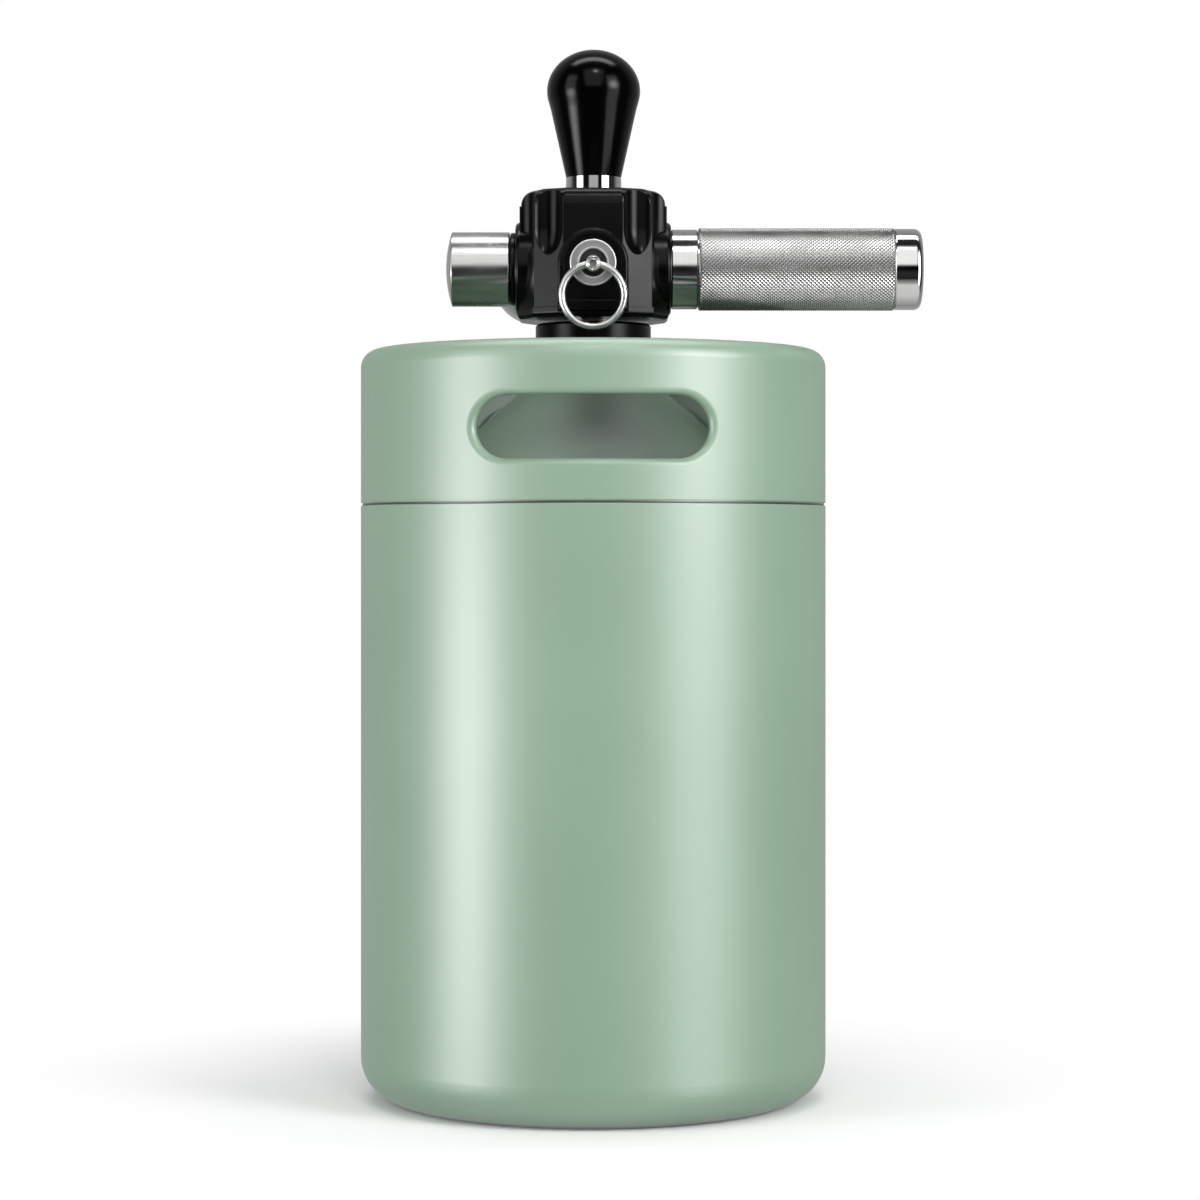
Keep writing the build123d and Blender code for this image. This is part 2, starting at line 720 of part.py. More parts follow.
dip_ring_seat = dip_r + 2 * dip_ring_r + 2 * ring_squeeze
gas_drop_x = valve_bore_end + gas_way_r
relief_drop_y = relief_hole_inner + relief_drop_r
from_base = (Align.CENTER, Align.CENTER, Align.MIN)
with BuildPart() as head_body:
    add(facet_block(crown_inset, head_top))
    fillet(head_body.faces().sort_by(Axis.Z)[-1].edges(), top_round)
    add(facet_block(0, head_top - crown_high))
    with PolarLocations(flute_place_r, 4, start_angle=flute_angle):
        add(flute_cutter.part, mode=Mode.SUBTRACT)
    with PolarLocations(flute_place_r, 4, start_angle=90 - flute_angle):
        add(flute_cutter.part, mode=Mode.SUBTRACT)
    # Foot flange
    with BuildSketch(Plane.XY.offset(head_base)):
        with BuildLine():
            Polyline(*corner_points, close=True)
        make_face()
        offset(amount=flange_step, kind=Kind.INTERSECTION)
    extrude(amount=flange_height)
    fillet(head_body.faces().sort_by(Axis.Z)[0].edges(), flange_round)
    add(side_bosses.part)
    add(arches.part)
    with BuildSketch(front_port.offset(arch_face)):
        arch(arch_recess_r, head_base + arch_recess_low)
    extrude(amount=-arch_recess, mode=Mode.SUBTRACT)
    # Tailpiece pocket, dip tube socket and the liquid way to the faucet
    with BuildSketch(upright):
        band(head_base, socket_top, 0, tail_r + fit_gap)
        band(socket_top, socket_top + 2 * dip_ring_r + ring_squeeze, 0, dip_ring_seat)
        band(socket_top, dip_top, 0, dip_r + fit_gap)
        band(dip_top, port_z, 0, dip_bore_r)
    revolve(axis=Axis.Z, mode=Mode.SUBTRACT)
    with BuildSketch(back):
        band(0, pocket_floor, 0, dip_bore_r)
        band(pocket_floor, arch_face, 0, shank_thread_r + fit_gap)
    revolve(axis=through_axis, mode=Mode.SUBTRACT)
    # Regulator pocket with its valve bore
    with BuildSketch(left):
        band(valve_bore_end, pocket_floor, 0, valve_bore_r)
        band(pocket_floor, side_face, 0, bonnet_thread_r + fit_gap)
    revolve(axis=cross_axis, mode=Mode.SUBTRACT)
    # Inlet pocket
    with BuildSketch(right):
        band(pocket_floor, side_face, 0, adapter_thread_r + fit_gap)
    revolve(axis=cross_axis, mode=Mode.SUBTRACT)
    # Relief valve pocket with its gas hole
    with BuildSketch(front):
        band(relief_hole_inner, relief_floor, 0, relief_hole_r)
        band(relief_floor, arch_face, 0, relief_pocket_r)
    revolve(axis=through_axis, mode=Mode.SUBTRACT)
    # High pressure way over the liquid way, low pressure ways into the tailpiece pocket
    with Locations(Plane(origin=(pocket_end, 0, gas_way_z), z_dir=(-1, 0, 0))):
        Cylinder(gas_way_r, pocket_end + gas_drop_x, align=from_base, mode=Mode.SUBTRACT)
    with Locations((-gas_drop_x, 0, port_z)):
        Cylinder(gas_way_r, gas_way_z - port_z, align=from_base, mode=Mode.SUBTRACT)
    with Locations(Plane(origin=(-pocket_end, 0, low_gas_z), z_dir=(1, 0, 0))):
        Cylinder(gas_way_r, pocket_end - tail_r + gas_way_r, align=from_base, mode=Mode.SUBTRACT)
    with Locations((0, -relief_drop_y, tail_top)):
        Cylinder(relief_drop_r, port_z - tail_top, align=from_base, mode=Mode.SUBTRACT)
save(head_body, "head_body")

tube_foot = foot_dome + shell_wall + dip_clear
with BuildPart(Plane.XY.offset(tube_foot)) as dip_tube:
    Cylinder(dip_r, dip_top - tube_foot, align=from_base)
    Hole(dip_bore_r)
save(dip_tube, "dip_tube")

dip_ring_z = socket_top + dip_ring_r + ring_squeeze
with BuildPart(Plane.XY.offset(dip_ring_z)) as dip_tube_seal:
    Torus(dip_r + dip_ring_r + ring_squeeze, dip_ring_r)
save(dip_tube_seal, "dip_tube_seal")

# ---------------------------------------------------------------- regulator

flange_face = side_face + bonnet_flange
keyway_end = bonnet_end - bonnet_end_wall
with BuildPart() as regulator_bonnet:
    with BuildSketch(left):
        band(side_face, flange_face, 0, bonnet_flange_r)
        band(pocket_end, side_face, 0, bonnet_thread_r)
        band(flange_face, bonnet_end, 0, bonnet_tube_r)
        band(pocket_end, keyway_end, 0, bonnet_bore_r, mode=Mode.SUBTRACT)
        band(pocket_end, bonnet_end, 0, spindle_r + run_gap, mode=Mode.SUBTRACT)
    revolve(axis=cross_axis)
    # Two keyways stop the spring cup from turning
    with BuildSketch(left_port.offset(piston_inner + piston_len)):
        Rectangle(2 * (bonnet_bore_r + key_deep), key_wide)
    extrude(amount=keyway_end - piston_inner - piston_len, mode=Mode.SUBTRACT)
    flange_rim = regulator_bonnet.edges().filter_by(GeomType.CIRCLE).filter_by(
        lambda e: abs(e.radius - bonnet_flange_r) < near
    )
    chamfer(flange_rim, small_edge)
save(regulator_bonnet, "regulator_bonnet")

knob_start = flange_face + free_gap
knob_floor = knob_edge - knob_end_wall + knob_dome / 2
with BuildPart() as regulator_knob:
    with BuildSketch(left):
        with BuildLine():
            Polyline(
                (knob_edge + knob_dome, 0),
                (knob_floor, 0),
                (knob_floor, bonnet_tube_r + run_gap),
                (knob_start, bonnet_tube_r + run_gap),
                (knob_start, knob_r),
                (knob_edge, knob_r),
            )
            ThreePointArc(
                (knob_edge, knob_r),
                (knob_edge + 0.75 * knob_dome, knob_r / 2),
                (knob_edge + knob_dome, 0),
            )
        make_face()
        band(knob_floor, knob_floor + spindle_grip, 0, spindle_r, mode=Mode.SUBTRACT)
    revolve(axis=cross_axis)
    knob_rims = regulator_knob.edges().filter_by(GeomType.CIRCLE).filter_by(
        lambda e: abs(e.radius - knob_r) < near
    )
    fillet(knob_rims, knob_edge_round)
    # Cross hole for the grub screw, on the rear side
    grub_x = -(knob_floor + spindle_grip / 2)
    with Locations(Plane(origin=(grub_x, 0, port_z), z_dir=(0, 1, 0))):
        Cylinder(grub_r + fit_gap, knob_r, align=from_base, mode=Mode.SUBTRACT)
save(regulator_knob, "regulator_knob")

spindle_shoulder = keyway_end - free_gap
with BuildPart() as regulator_spindle:
    with BuildSketch(left):
        band(spindle_shoulder, knob_floor + spindle_grip, 0, spindle_r)
        band(spindle_shoulder - spindle_collar, spindle_shoulder, 0, spindle_collar_r)
        band(screw_end, spindle_shoulder, 0, screw_r)
    revolve(axis=cross_axis)
save(regulator_spindle, "regulator_spindle")

grub_top = sqrt(knob_r**2 - grub_r**2) - knob_edge_round
with BuildPart(Plane(origin=(grub_x, 0, port_z), z_dir=(0, 1, 0))) as knob_screw:
    with Locations((0, 0, spindle_r + fit_gap)):
        Cylinder(grub_r, grub_top - spindle_r - fit_gap, align=from_base)
    with BuildSketch(Plane(origin=(grub_x, grub_top, port_z), z_dir=(0, 1, 0))):
        RegularPolygon(grub_hex / 2, 6)
    extrude(amount=-grub_hex, mode=Mode.SUBTRACT)
save(knob_screw, "knob_screw")

cup_back = spindle_shoulder - spindle_collar - free_gap
cup_front = cup_back - cup_floor
with BuildPart() as spring_cup:
    with BuildSketch(left):
        band(cup_front, cup_back, screw_r + run_gap, cup_r)
        band(cup_back - cup_hub, cup_back, screw_r + run_gap, cup_hub_r)
    revolve(axis=cross_axis)
    # Keys that run in the bonnet's keyways
    with BuildSketch(left_port.offset(cup_front)):
        Rectangle(2 * (bonnet_bore_r + key_deep - free_gap), key_wide - 2 * free_gap)
        Circle(cup_hub_r, mode=Mode.SUBTRACT)
    extrude(amount=cup_floor)
save(spring_cup, "spring_cup")

piston_outer = piston_inner + piston_len
piston_ring_mid = piston_inner + piston_len / 2
piston_ring_path = bonnet_bore_r - run_gap - piston_ring_r
groove_half = piston_ring_r + ring_squeeze
with BuildPart() as regulator_piston:
    with BuildSketch(left):
        band(piston_inner, piston_outer, 0, bonnet_bore_r - run_gap)
        band(piston_outer, piston_outer + screw_r, 0, piston_seat_r)
        band(piston_pin_end, piston_inner, 0, piston_pin_r)
        band(
            piston_ring_mid - groove_half,
            piston_ring_mid + groove_half,
            piston_ring_path - groove_half,
            bonnet_bore_r,
            mode=Mode.SUBTRACT,
        )
    revolve(axis=cross_axis)
save(regulator_piston, "regulator_piston")

with BuildPart(left_port.offset(piston_ring_mid)) as piston_ring:
    Torus(piston_ring_path, piston_ring_r)
save(piston_ring, "piston_ring")

with BuildPart() as valve_seat:
    with BuildSketch(left):
        band(pocket_floor - valve_seat_len, pocket_floor, valve_hole_r, valve_bore_r - fit_gap)
    revolve(axis=cross_axis)
save(valve_seat, "valve_seat")


def coil(port, start, end, turns, radius, wire):
    # Wire path of a compression spring that lies between start and end on a port's axis
    pitch = (end - start - 2 * wire) / turns
    foot = port.offset(start + wire).origin
    return Helix(pitch, pitch * turns, radius, center=foot, direction=port.z_dir)


with BuildPart() as regulator_spring:
    with BuildLine() as spring_path:
        coil(
            left_port,
            piston_outer + fit_gap,
            cup_front - fit_gap,
            spring_coils,
            spring_mean_r,
            spring_wire_r,
        )
    with BuildSketch(Plane(origin=spring_path.line @ 0, z_dir=spring_path.line % 0)):
        Circle(spring_wire_r)
    sweep(path=spring_path.line, is_frenet=True)
save(regulator_spring, "regulator_spring")

# ---------------------------------------------------------------- gas inlet

nest_start = cartridge_tip + cartridge_neck - free_gap
inlet_ring_path = adapter_thread_r - inlet_ring_r - ring_squeeze
with BuildPart() as inlet_adapter:
    with BuildSketch(right):
        band(side_face, adapter_end, 0, adapter_r)
        band(pocket_end, side_face, 0, adapter_thread_r)
        band(adapter_end, spigot_end, 0, spigot_r)
        band(nest_start, spigot_end, 0, cartridge_r + free_gap, mode=Mode.SUBTRACT)
        band(pin_seat, nest_start, 0, cartridge_neck_r + free_gap, mode=Mode.SUBTRACT)
        band(pocket_end, pin_seat, 0, pin_r + fit_gap, mode=Mode.SUBTRACT)
        band(
            inlet_ring_at - inlet_ring_r - ring_squeeze,
            inlet_ring_at + inlet_ring_r + ring_squeeze,
            inlet_ring_path - inlet_ring_r - ring_squeeze,
            adapter_r,
            mode=Mode.SUBTRACT,
        )
        thread_rings(adapter_end + thread_pitch / 2, spigot_end, spigot_r)
    revolve(axis=cross_axis)
    adapter_rims = inlet_adapter.edges().filter_by(GeomType.CIRCLE).filter_by(
        lambda e: abs(e.radius - adapter_r) < near
    )
    chamfer(adapter_rims, adapter_bevel)
save(inlet_adapter, "inlet_adapter")

with BuildPart(right_port.offset(inlet_ring_at)) as inlet_ring:
    Torus(inlet_ring_path, inlet_ring_r)
save(inlet_ring, "inlet_ring")

with BuildPart() as pierce_pin:
    with BuildSketch(right):
        with BuildLine():
            Polyline(
                (pin_foot, needle_bore_r),
                (pin_foot, pin_r),
                (pin_seat, pin_r),
                (pin_seat, needle_r),
                (needle_end - needle_r, needle_r),
                (needle_end, needle_bore_r),
                close=True,
            )
        make_face()
    revolve(axis=cross_axis)
save(pierce_pin, "pierce_pin")

with BuildPart() as pierce_seal:
    with BuildSketch(right):
        band(
            pin_seat,
            pin_seat + pierce_seal_thick,
            needle_r + fit_gap,
            cartridge_neck_r + free_gap - fit_gap,
        )
    revolve(axis=cross_axis)
save(pierce_seal, "pierce_seal")

# Gas cartridge: small neck, domed shoulder, straight body and round end
cartridge_neck_end = cartridge_tip + cartridge_neck
cartridge_body = cartridge_neck_end + cartridge_shoulder
cartridge_in_r = cartridge_r - cartridge_wall
cartridge_neck_in_r = cartridge_neck_r - cartridge_wall
pierced_r = needle_r + thread_gap
with BuildPart() as co2_cartridge:
    with BuildSketch(right):
        with BuildLine():
            Polyline(
                (cartridge_tip + cartridge_wall, cartridge_neck_in_r),
                (cartridge_tip + cartridge_wall, pierced_r),
                (cartridge_tip, pierced_r),
                (cartridge_tip, cartridge_neck_r),
                (cartridge_neck_end, cartridge_neck_r),
            )
            TangentArc(
                (cartridge_body, cartridge_r), (cartridge_neck_end, cartridge_neck_r), tangent=(-1, 0)
            )
            Line((cartridge_body, cartridge_r), (cartridge_tail - cartridge_r, cartridge_r))
            CenterArc((cartridge_tail - cartridge_r, 0), cartridge_r, 0, 90)
            Line((cartridge_tail, 0), (cartridge_tail - cartridge_wall, 0))
            CenterArc((cartridge_tail - cartridge_r, 0), cartridge_in_r, 0, 90)
            Line((cartridge_tail - cartridge_r, cartridge_in_r), (cartridge_body, cartridge_in_r))
            TangentArc(
                (cartridge_body, cartridge_in_r),
                (cartridge_neck_end, cartridge_neck_in_r),
                tangent=(-1, 0),
            )
            Line(
                (cartridge_neck_end, cartridge_neck_in_r),
                (cartridge_tip + cartridge_wall, cartridge_neck_in_r),
            )
        make_face()
    revolve(axis=cross_axis)
save(co2_cartridge, "co2_cartridge")

cap_start = sleeve_end + cap_gap
cap_bore_start = sleeve_end - cap_spigot
with BuildPart() as cartridge_sleeve:
    with BuildSketch(right):
        band(sleeve_start, sleeve_end, sleeve_bore_r, sleeve_r)
        band(sleeve_start, spigot_end + free_gap, 0, spigot_r + thread_gap, mode=Mode.SUBTRACT)
        band(cap_bore_start, sleeve_end, 0, cap_spigot_r + fit_gap, mode=Mode.SUBTRACT)
    revolve(axis=cross_axis)
    sleeve_rims = cartridge_sleeve.edges().filter_by(GeomType.CIRCLE).filter_by(
        lambda e: abs(e.radius - sleeve_r) < near
    )
    chamfer(sleeve_rims, sleeve_bevel)
save(cartridge_sleeve, "cartridge_sleeve")

cap_ring_at = sleeve_end - cap_spigot / 3
cap_ring_path = cap_spigot_r - cap_ring_r - ring_squeeze
with BuildPart() as sleeve_end_cap:
    with BuildSketch(right):
        band(cap_start, cap_end, 0, cap_r)
        band(cap_bore_start + fit_gap, cap_start, 0, cap_spigot_r)
        band(cap_bore_start, cap_end - cap_wall, 0, sleeve_bore_r, mode=Mode.SUBTRACT)
        band(
            cap_ring_at - cap_ring_r - ring_squeeze,
            cap_ring_at + cap_ring_r + ring_squeeze,
            cap_ring_path - cap_ring_r - ring_squeeze,
            cap_r,
            mode=Mode.SUBTRACT,
        )
    revolve(axis=cross_axis)
    fillet(sleeve_end_cap.faces().sort_by(Axis.X)[-1].edges(), cap_round)
save(sleeve_end_cap, "sleeve_end_cap")

with BuildPart(right_port.offset(cap_ring_at)) as cap_ring:
    Torus(cap_ring_path, cap_ring_r)
save(cap_ring, "cap_ring")

with BuildPart(right_port.offset(cartridge_tail + free_gap)) as cartridge_pad:
    Cylinder(pad_r, cap_end - cap_wall - cartridge_tail - free_gap, align=from_base)
save(cartridge_pad, "cartridge_pad")

# ---------------------------------------------------------------- relief valve

recess_floor = arch_face - arch_recess
bush_inside = bush_face - bush_dish - bush_wall
with BuildPart() as relief_bush:
    with BuildSketch(front):
        band(recess_floor, bush_face, 0, bush_r)
        band(pocket_end, recess_floor, 0, relief_pocket_r - fit_gap)
        band(bush_face - bush_dish, bush_face, 0, bush_dish_r, mode=Mode.SUBTRACT)
        band(pocket_end, bush_inside, 0, bush_bore_r, mode=Mode.SUBTRACT)
        band(pocket_end, bush_face, 0, stem_r + run_gap, mode=Mode.SUBTRACT)
    revolve(axis=through_axis)
    fillet(relief_bush.faces().sort_by(Axis.Y)[0].edges(), small_edge)
save(relief_bush, "relief_bush")

with BuildPart(front_port.offset(relief_floor)) as relief_seat:
    Cylinder(relief_pocket_r - fit_gap, seat_thick, align=from_base)
    Hole(relief_hole_r)
save(relief_seat, "relief_seat")

poppet_start = relief_floor + seat_thick + free_gap
with BuildPart(front_port.offset(poppet_start)) as relief_poppet:
    Cylinder(poppet_r, poppet_thick, align=from_base)
save(relief_poppet, "relief_poppet")

stem_start = poppet_start + poppet_thick
eye_z = port_z - eye_drop
with BuildPart() as relief_stem:
    with BuildSketch(front):
        band(stem_start, stem_start + stem_flange, 0, stem_flange_r)
        band(stem_start, eye_start + stem_flange, 0, stem_r)
    revolve(axis=through_axis)
    with BuildSketch(front_port.offset(eye_start)):
        with Locations((0, -eye_drop)):
            Circle(eye_r)
    extrude(amount=eye_front - eye_start)
    fillet(relief_stem.faces().sort_by(Axis.Y)[0].edges(), small_edge)
    with BuildSketch(front_port.offset(eye_front)):
        with Locations((0, -eye_drop)):
            RegularPolygon(eye_hex, 6)
    extrude(amount=-eye_hex_deep, mode=Mode.SUBTRACT)
    with Locations(Plane(origin=(0, -eye_out, eye_z), z_dir=(1, 0, 0))):
        Cylinder(eye_hole_r, 3 * eye_r, mode=Mode.SUBTRACT)
save(relief_stem, "relief_stem")

ring_centre_z = eye_z - pull_ring_r
with BuildPart(Plane(origin=(0, -eye_out, ring_centre_z), z_dir=(0, -1, 0))) as pull_ring:
    Torus(pull_ring_r, pull_wire_r)
save(pull_ring, "pull_ring")

with BuildPart() as relief_spring:
    with BuildLine() as relief_path:
        coil(
            front_port,
            stem_start + stem_flange + fit_gap,
            bush_inside - fit_gap,
            relief_coils,
            relief_spring_r,
            relief_wire_r,
        )
    with BuildSketch(Plane(origin=relief_path.line @ 0, z_dir=relief_path.line % 0)):
        Circle(relief_wire_r)
    sweep(path=relief_path.line, is_frenet=True)
save(relief_spring, "relief_spring")

# ---------------------------------------------------------------- faucet

shank_ring_path = shank_thread_r - shank_ring_r - ring_squeeze
with BuildPart() as faucet_shank:
    with BuildSketch(back):
        band(pocket_end, arch_face, 0, shank_thread_r)
        band(arch_face, arch_face + shank_shoulder, 0, shank_shoulder_r)
        band(arch_face, shank_end, 0, shank_neck_r)
        band(shank_end - shank_flange, shank_end, 0, shank_flange_r)
        band(pocket_end, shank_end, 0, shank_bore_r, mode=Mode.SUBTRACT)
        band(
            shank_ring_at - shank_ring_r - ring_squeeze,
            shank_ring_at + shank_ring_r + ring_squeeze,
            shank_ring_path - shank_ring_r - ring_squeeze,
            shank_shoulder_r,
            mode=Mode.SUBTRACT,
        )
    revolve(axis=through_axis)
save(faucet_shank, "faucet_shank")

with BuildPart(back_port.offset(shank_ring_at)) as shank_ring:
    Torus(shank_ring_path, shank_ring_r)
save(shank_ring, "shank_ring")

with BuildPart(back_port.offset(shank_end)) as coupling_seal:
    Cylinder(shank_neck_r, shank_seal, align=from_base)
    Hole(shank_bore_r)
save(coupling_seal, "coupling_seal")

with BuildPart() as coupling_nut:
    with BuildSketch(back):
        band(nut_start, nut_end, body_thread_r + fit_gap, nut_r)
        band(nut_start, nut_start + nut_web, shank_neck_r + fit_gap, nut_r)
    revolve(axis=through_axis)
    nut_rims = coupling_nut.edges().filter_by(GeomType.CIRCLE).filter_by(
        lambda e: abs(e.radius - nut_r) < near
    )
    chamfer(nut_rims, nut_bevel)
    # Holes for a hook spanner
    nut_mid = Plane(origin=(0, (nut_start + nut_end) / 2, port_z), x_dir=(1, 0, 0), z_dir=(0, 1, 0))
    spanner_angle = 360 / nut_holes
    for hole in range(nut_holes):
        turned = nut_mid.rotated((0, 0, hole * spanner_angle + spanner_angle / 2))
        side = Plane(origin=turned.origin, z_dir=turned.x_dir).offset(nut_r - nut_hole_deep)
        with Locations(side):
            Cylinder(nut_hole_r, nut_hole_deep * 2, align=from_base, mode=Mode.SUBTRACT)
save(coupling_nut, "coupling_nut")

body_start = shank_end + shank_seal
nose_start = body_end - nose_land
with BuildPart() as faucet_body:
    with BuildSketch(back):
        with BuildLine():
            Polyline(
                (body_start, 0),
                (body_start, body_thread_r),
                (barrel_start, body_thread_r),
                (barrel_start, barrel_r),
                (barrel_taper, barrel_r),
            )
            TangentArc((barrel_taper, barrel_r), (nose_start, nose_r), tangent=(1, 0))
            Polyline((nose_start, nose_r), (body_end, nose_r), (body_end, 0), (body_start, 0))
        make_face()
    revolve(axis=through_axis)
    # Turret for the lever and boss for the flow control
    with BuildSketch(handle_section):
        band(port_z, turret_top, 0, turret_r)
    revolve(axis=lever_axis)
    with BuildSketch(flow_section):
        band(0, flow_boss_end, 0, flow_boss_r)
    revolve(axis=flow_axis)
    # Inside
    with BuildSketch(back):
        band(body_start, spout_seat, 0, cavity_r)
        band(spout_seat, body_end, 0, spout_thread_r + fit_gap)
    revolve(axis=through_axis, mode=Mode.SUBTRACT)
    with BuildSketch(handle_section):
        band(port_z, turret_top, 0, throat_r)
        band(washer_z, turret_top, 0, turret_bore_r)
    revolve(axis=lever_axis, mode=Mode.SUBTRACT)
    # Room for the lever's arm as it swings back
    arm_reach = (pivot_z - port_z - shaft_flat) * tan(radians(lever_open)) + 2 * arm_r
    with Locations((0, pivot_y, port_z)):
        Box(
            2 * arm_r + 2 * slot_play,
            arm_reach,
            washer_z - port_z - washer_thick,
            align=(Align.CENTER, Align.MAX, Align.MIN),
            mode=Mode.SUBTRACT,
        )
    with BuildSketch(flow_section):
        band(0, flow_boss_end, 0, flow_plug_r + run_gap)
    revolve(axis=flow_axis, mode=Mode.SUBTRACT)
save(faucet_body, "faucet_body")

with BuildPart(Plane.XY.offset(washer_z)) as ball_washer:
    with Locations((0, pivot_y)):
        Cylinder(turret_bore_r - fit_gap, washer_thick, align=from_base)
        Cylinder(washer_hole_r, washer_thick, align=from_base, mode=Mode.SUBTRACT)
save(ball_washer, "ball_washer")

with BuildPart() as faucet_bonnet:
    with BuildSketch(handle_section):
        with BuildLine():
            Polyline(
                (faucet_bonnet_low, turret_r + fit_gap),
                (faucet_bonnet_low, faucet_bonnet_r),
                (faucet_bonnet_top - faucet_bonnet_bevel, faucet_bonnet_r),
                (faucet_bonnet_top, faucet_bonnet_r - faucet_bonnet_bevel),
                (faucet_bonnet_top, lip_r + lip_flare),
                (lip_z, lip_r),
                (turret_top, lip_r + lip_relief),
                (turret_top, turret_r + fit_gap),
                close=True,
            )
        make_face()
    revolve(axis=lever_axis)
save(faucet_bonnet, "faucet_bonnet")

# ---------------------------------------------------------------- valve

seat_face = spout_seat - free_gap
seat_back = seat_face - seat_disc_thick
rod_end = seat_face - seat_disc_thick / 2
slot_wide = 2 * (arm_tip_r + slot_play)
with BuildPart() as valve_shaft:
    with BuildSketch(back):
        band(pivot_y - shaft_block / 2, pivot_y + shaft_block / 2, 0, shaft_r)
    revolve(axis=through_axis)
    # Flats let the liquid past, the slot takes the lever's tip
    with Locations((0, pivot_y, port_z + shaft_flat)):
        Box(2 * shaft_r, 2 * shaft_block, shaft_r, align=from_base, mode=Mode.SUBTRACT)
    with Locations((0, pivot_y, port_z)):
        Box(2 * shaft_side, shaft_block, 2 * shaft_r, mode=Mode.INTERSECT)
    with BuildSketch(back):
        band(pivot_y, rod_end, 0, rod_r)
    revolve(axis=through_axis)
    with Locations((0, pivot_y, port_z - shaft_flat)):
        Box(2 * shaft_r, slot_wide, 2 * shaft_r, align=from_base, mode=Mode.SUBTRACT)
save(valve_shaft, "valve_shaft")

with BuildPart() as shaft_seat:
    with BuildSketch(back):
        band(seat_back, seat_face, 0, seat_disc_r)
        band(seat_back, rod_end, 0, rod_r + fit_gap, mode=Mode.SUBTRACT)
    revolve(axis=through_axis)
save(shaft_seat, "shaft_seat")

with BuildPart() as tap_lever:
    with BuildSketch(handle_section):
        band(pivot_z - arm_len, pivot_z, 0, arm_r)
        band(pivot_z, lever_shoulder_z, 0, lever_neck_r)
        band(lever_shoulder_z, ferrule_low, 0, lever_shoulder_r)
        band(ferrule_low, lever_thread_end, 0, lever_thread_r)
    revolve(axis=lever_axis)
    with Locations((0, pivot_y, pivot_z)):
        Sphere(ball_r)
    with Locations((0, pivot_y, pivot_z - arm_len)):
        Sphere(arm_tip_r)
save(tap_lever, "tap_lever")

with BuildPart() as handle_ferrule:
    with BuildSketch(handle_section):
        with BuildLine():
            Polyline(
                (ferrule_low, lever_thread_r + fit_gap),
                (ferrule_low, ferrule_low_r),
                (ferrule_wide, ferrule_r),
                (handle_low, ferrule_r),
                (handle_low, lever_thread_r + fit_gap),
                close=True,
            )
        make_face()
    revolve(axis=lever_axis)
    fillet(handle_ferrule.faces().sort_by(Axis.Z)[0].outer_wire().edges(), small_edge)
save(handle_ferrule, "handle_ferrule")

with BuildPart() as handle_insert:
    with BuildSketch(handle_section):
        band(handle_low, insert_end, lever_thread_r + fit_gap, insert_r)
    revolve(axis=lever_axis)
save(handle_insert, "handle_insert")

with BuildPart() as handle_knob:
    with BuildSketch(handle_section):
        with BuildLine():
            Polyline(
                (insert_end + fit_gap, 0),
                (insert_end + fit_gap, insert_r + fit_gap),
                (handle_low, insert_r + fit_gap),
                (handle_low, handle_low_r),
                (handle_waist_z, handle_waist_r),
            )
            Spline(
                (handle_waist_z, handle_waist_r),
                (handle_ball_z, handle_ball_r),
                tangents=((handle_waist_z - handle_low, handle_waist_r - handle_low_r), (1, 0)),
            )
            EllipticalCenterArc(
                (handle_ball_z, 0), handle_top - handle_ball_z, handle_ball_r, arc_size=90
            )
            Line((handle_top, 0), (insert_end + fit_gap, 0))
        make_face()
    revolve(axis=lever_axis)
save(handle_knob, "handle_knob")

# ---------------------------------------------------------------- spout

spout_face = body_end
bend_start = spout_face + spout_collar + spout_lead
outlet_y = bend_start + spout_bend
bend_z = port_z - spout_bend
spout_ring_at = (spout_seat + spout_face) / 2
spout_ring_path = spout_thread_r - spout_ring_r - ring_squeeze
with BuildPart() as faucet_spout:
    with BuildSketch(back):
        band(spout_seat, spout_face, 0, spout_thread_r)
        band(spout_face, spout_face + spout_collar, 0, spout_collar_r)
    revolve(axis=through_axis)
    with BuildLine() as spout_path:
        Line((0, spout_face, port_z), (0, bend_start, port_z))
        TangentArc(
            (0, bend_start, port_z), (0, outlet_y, bend_z), tangent=(0, 1, 0)
        )
        Line((0, outlet_y, bend_z), (0, outlet_y, spout_low + spout_tip))
    with BuildSketch(back_port.offset(spout_face)):
        Circle(spout_r)
    sweep(path=spout_path.line)
    with Locations((0, outlet_y, spout_low)):
        Cone(spout_tip_r, spout_r, spout_tip, align=from_base)
    with BuildSketch(back_port.offset(spout_face)):
        Circle(spout_bore_r)
    sweep(path=spout_path.line, mode=Mode.SUBTRACT)
    with BuildSketch(back):
        band(spout_seat, spout_face, 0, spout_bore_r)
        band(
            spout_ring_at - spout_ring_r - ring_squeeze,
            spout_ring_at + spout_ring_r + ring_squeeze,
            spout_ring_path - spout_ring_r - ring_squeeze,
            spout_collar_r,
        )
    revolve(axis=through_axis, mode=Mode.SUBTRACT)
    with Locations((0, outlet_y, spout_low)):
        Cylinder(spout_bore_r, spout_tip, align=from_base, mode=Mode.SUBTRACT)
save(faucet_spout, "faucet_spout")

with BuildPart(back_port.offset(spout_ring_at)) as spout_ring:
    Torus(spout_ring_path, spout_ring_r)
save(spout_ring, "spout_ring")

# ---------------------------------------------------------------- flow control

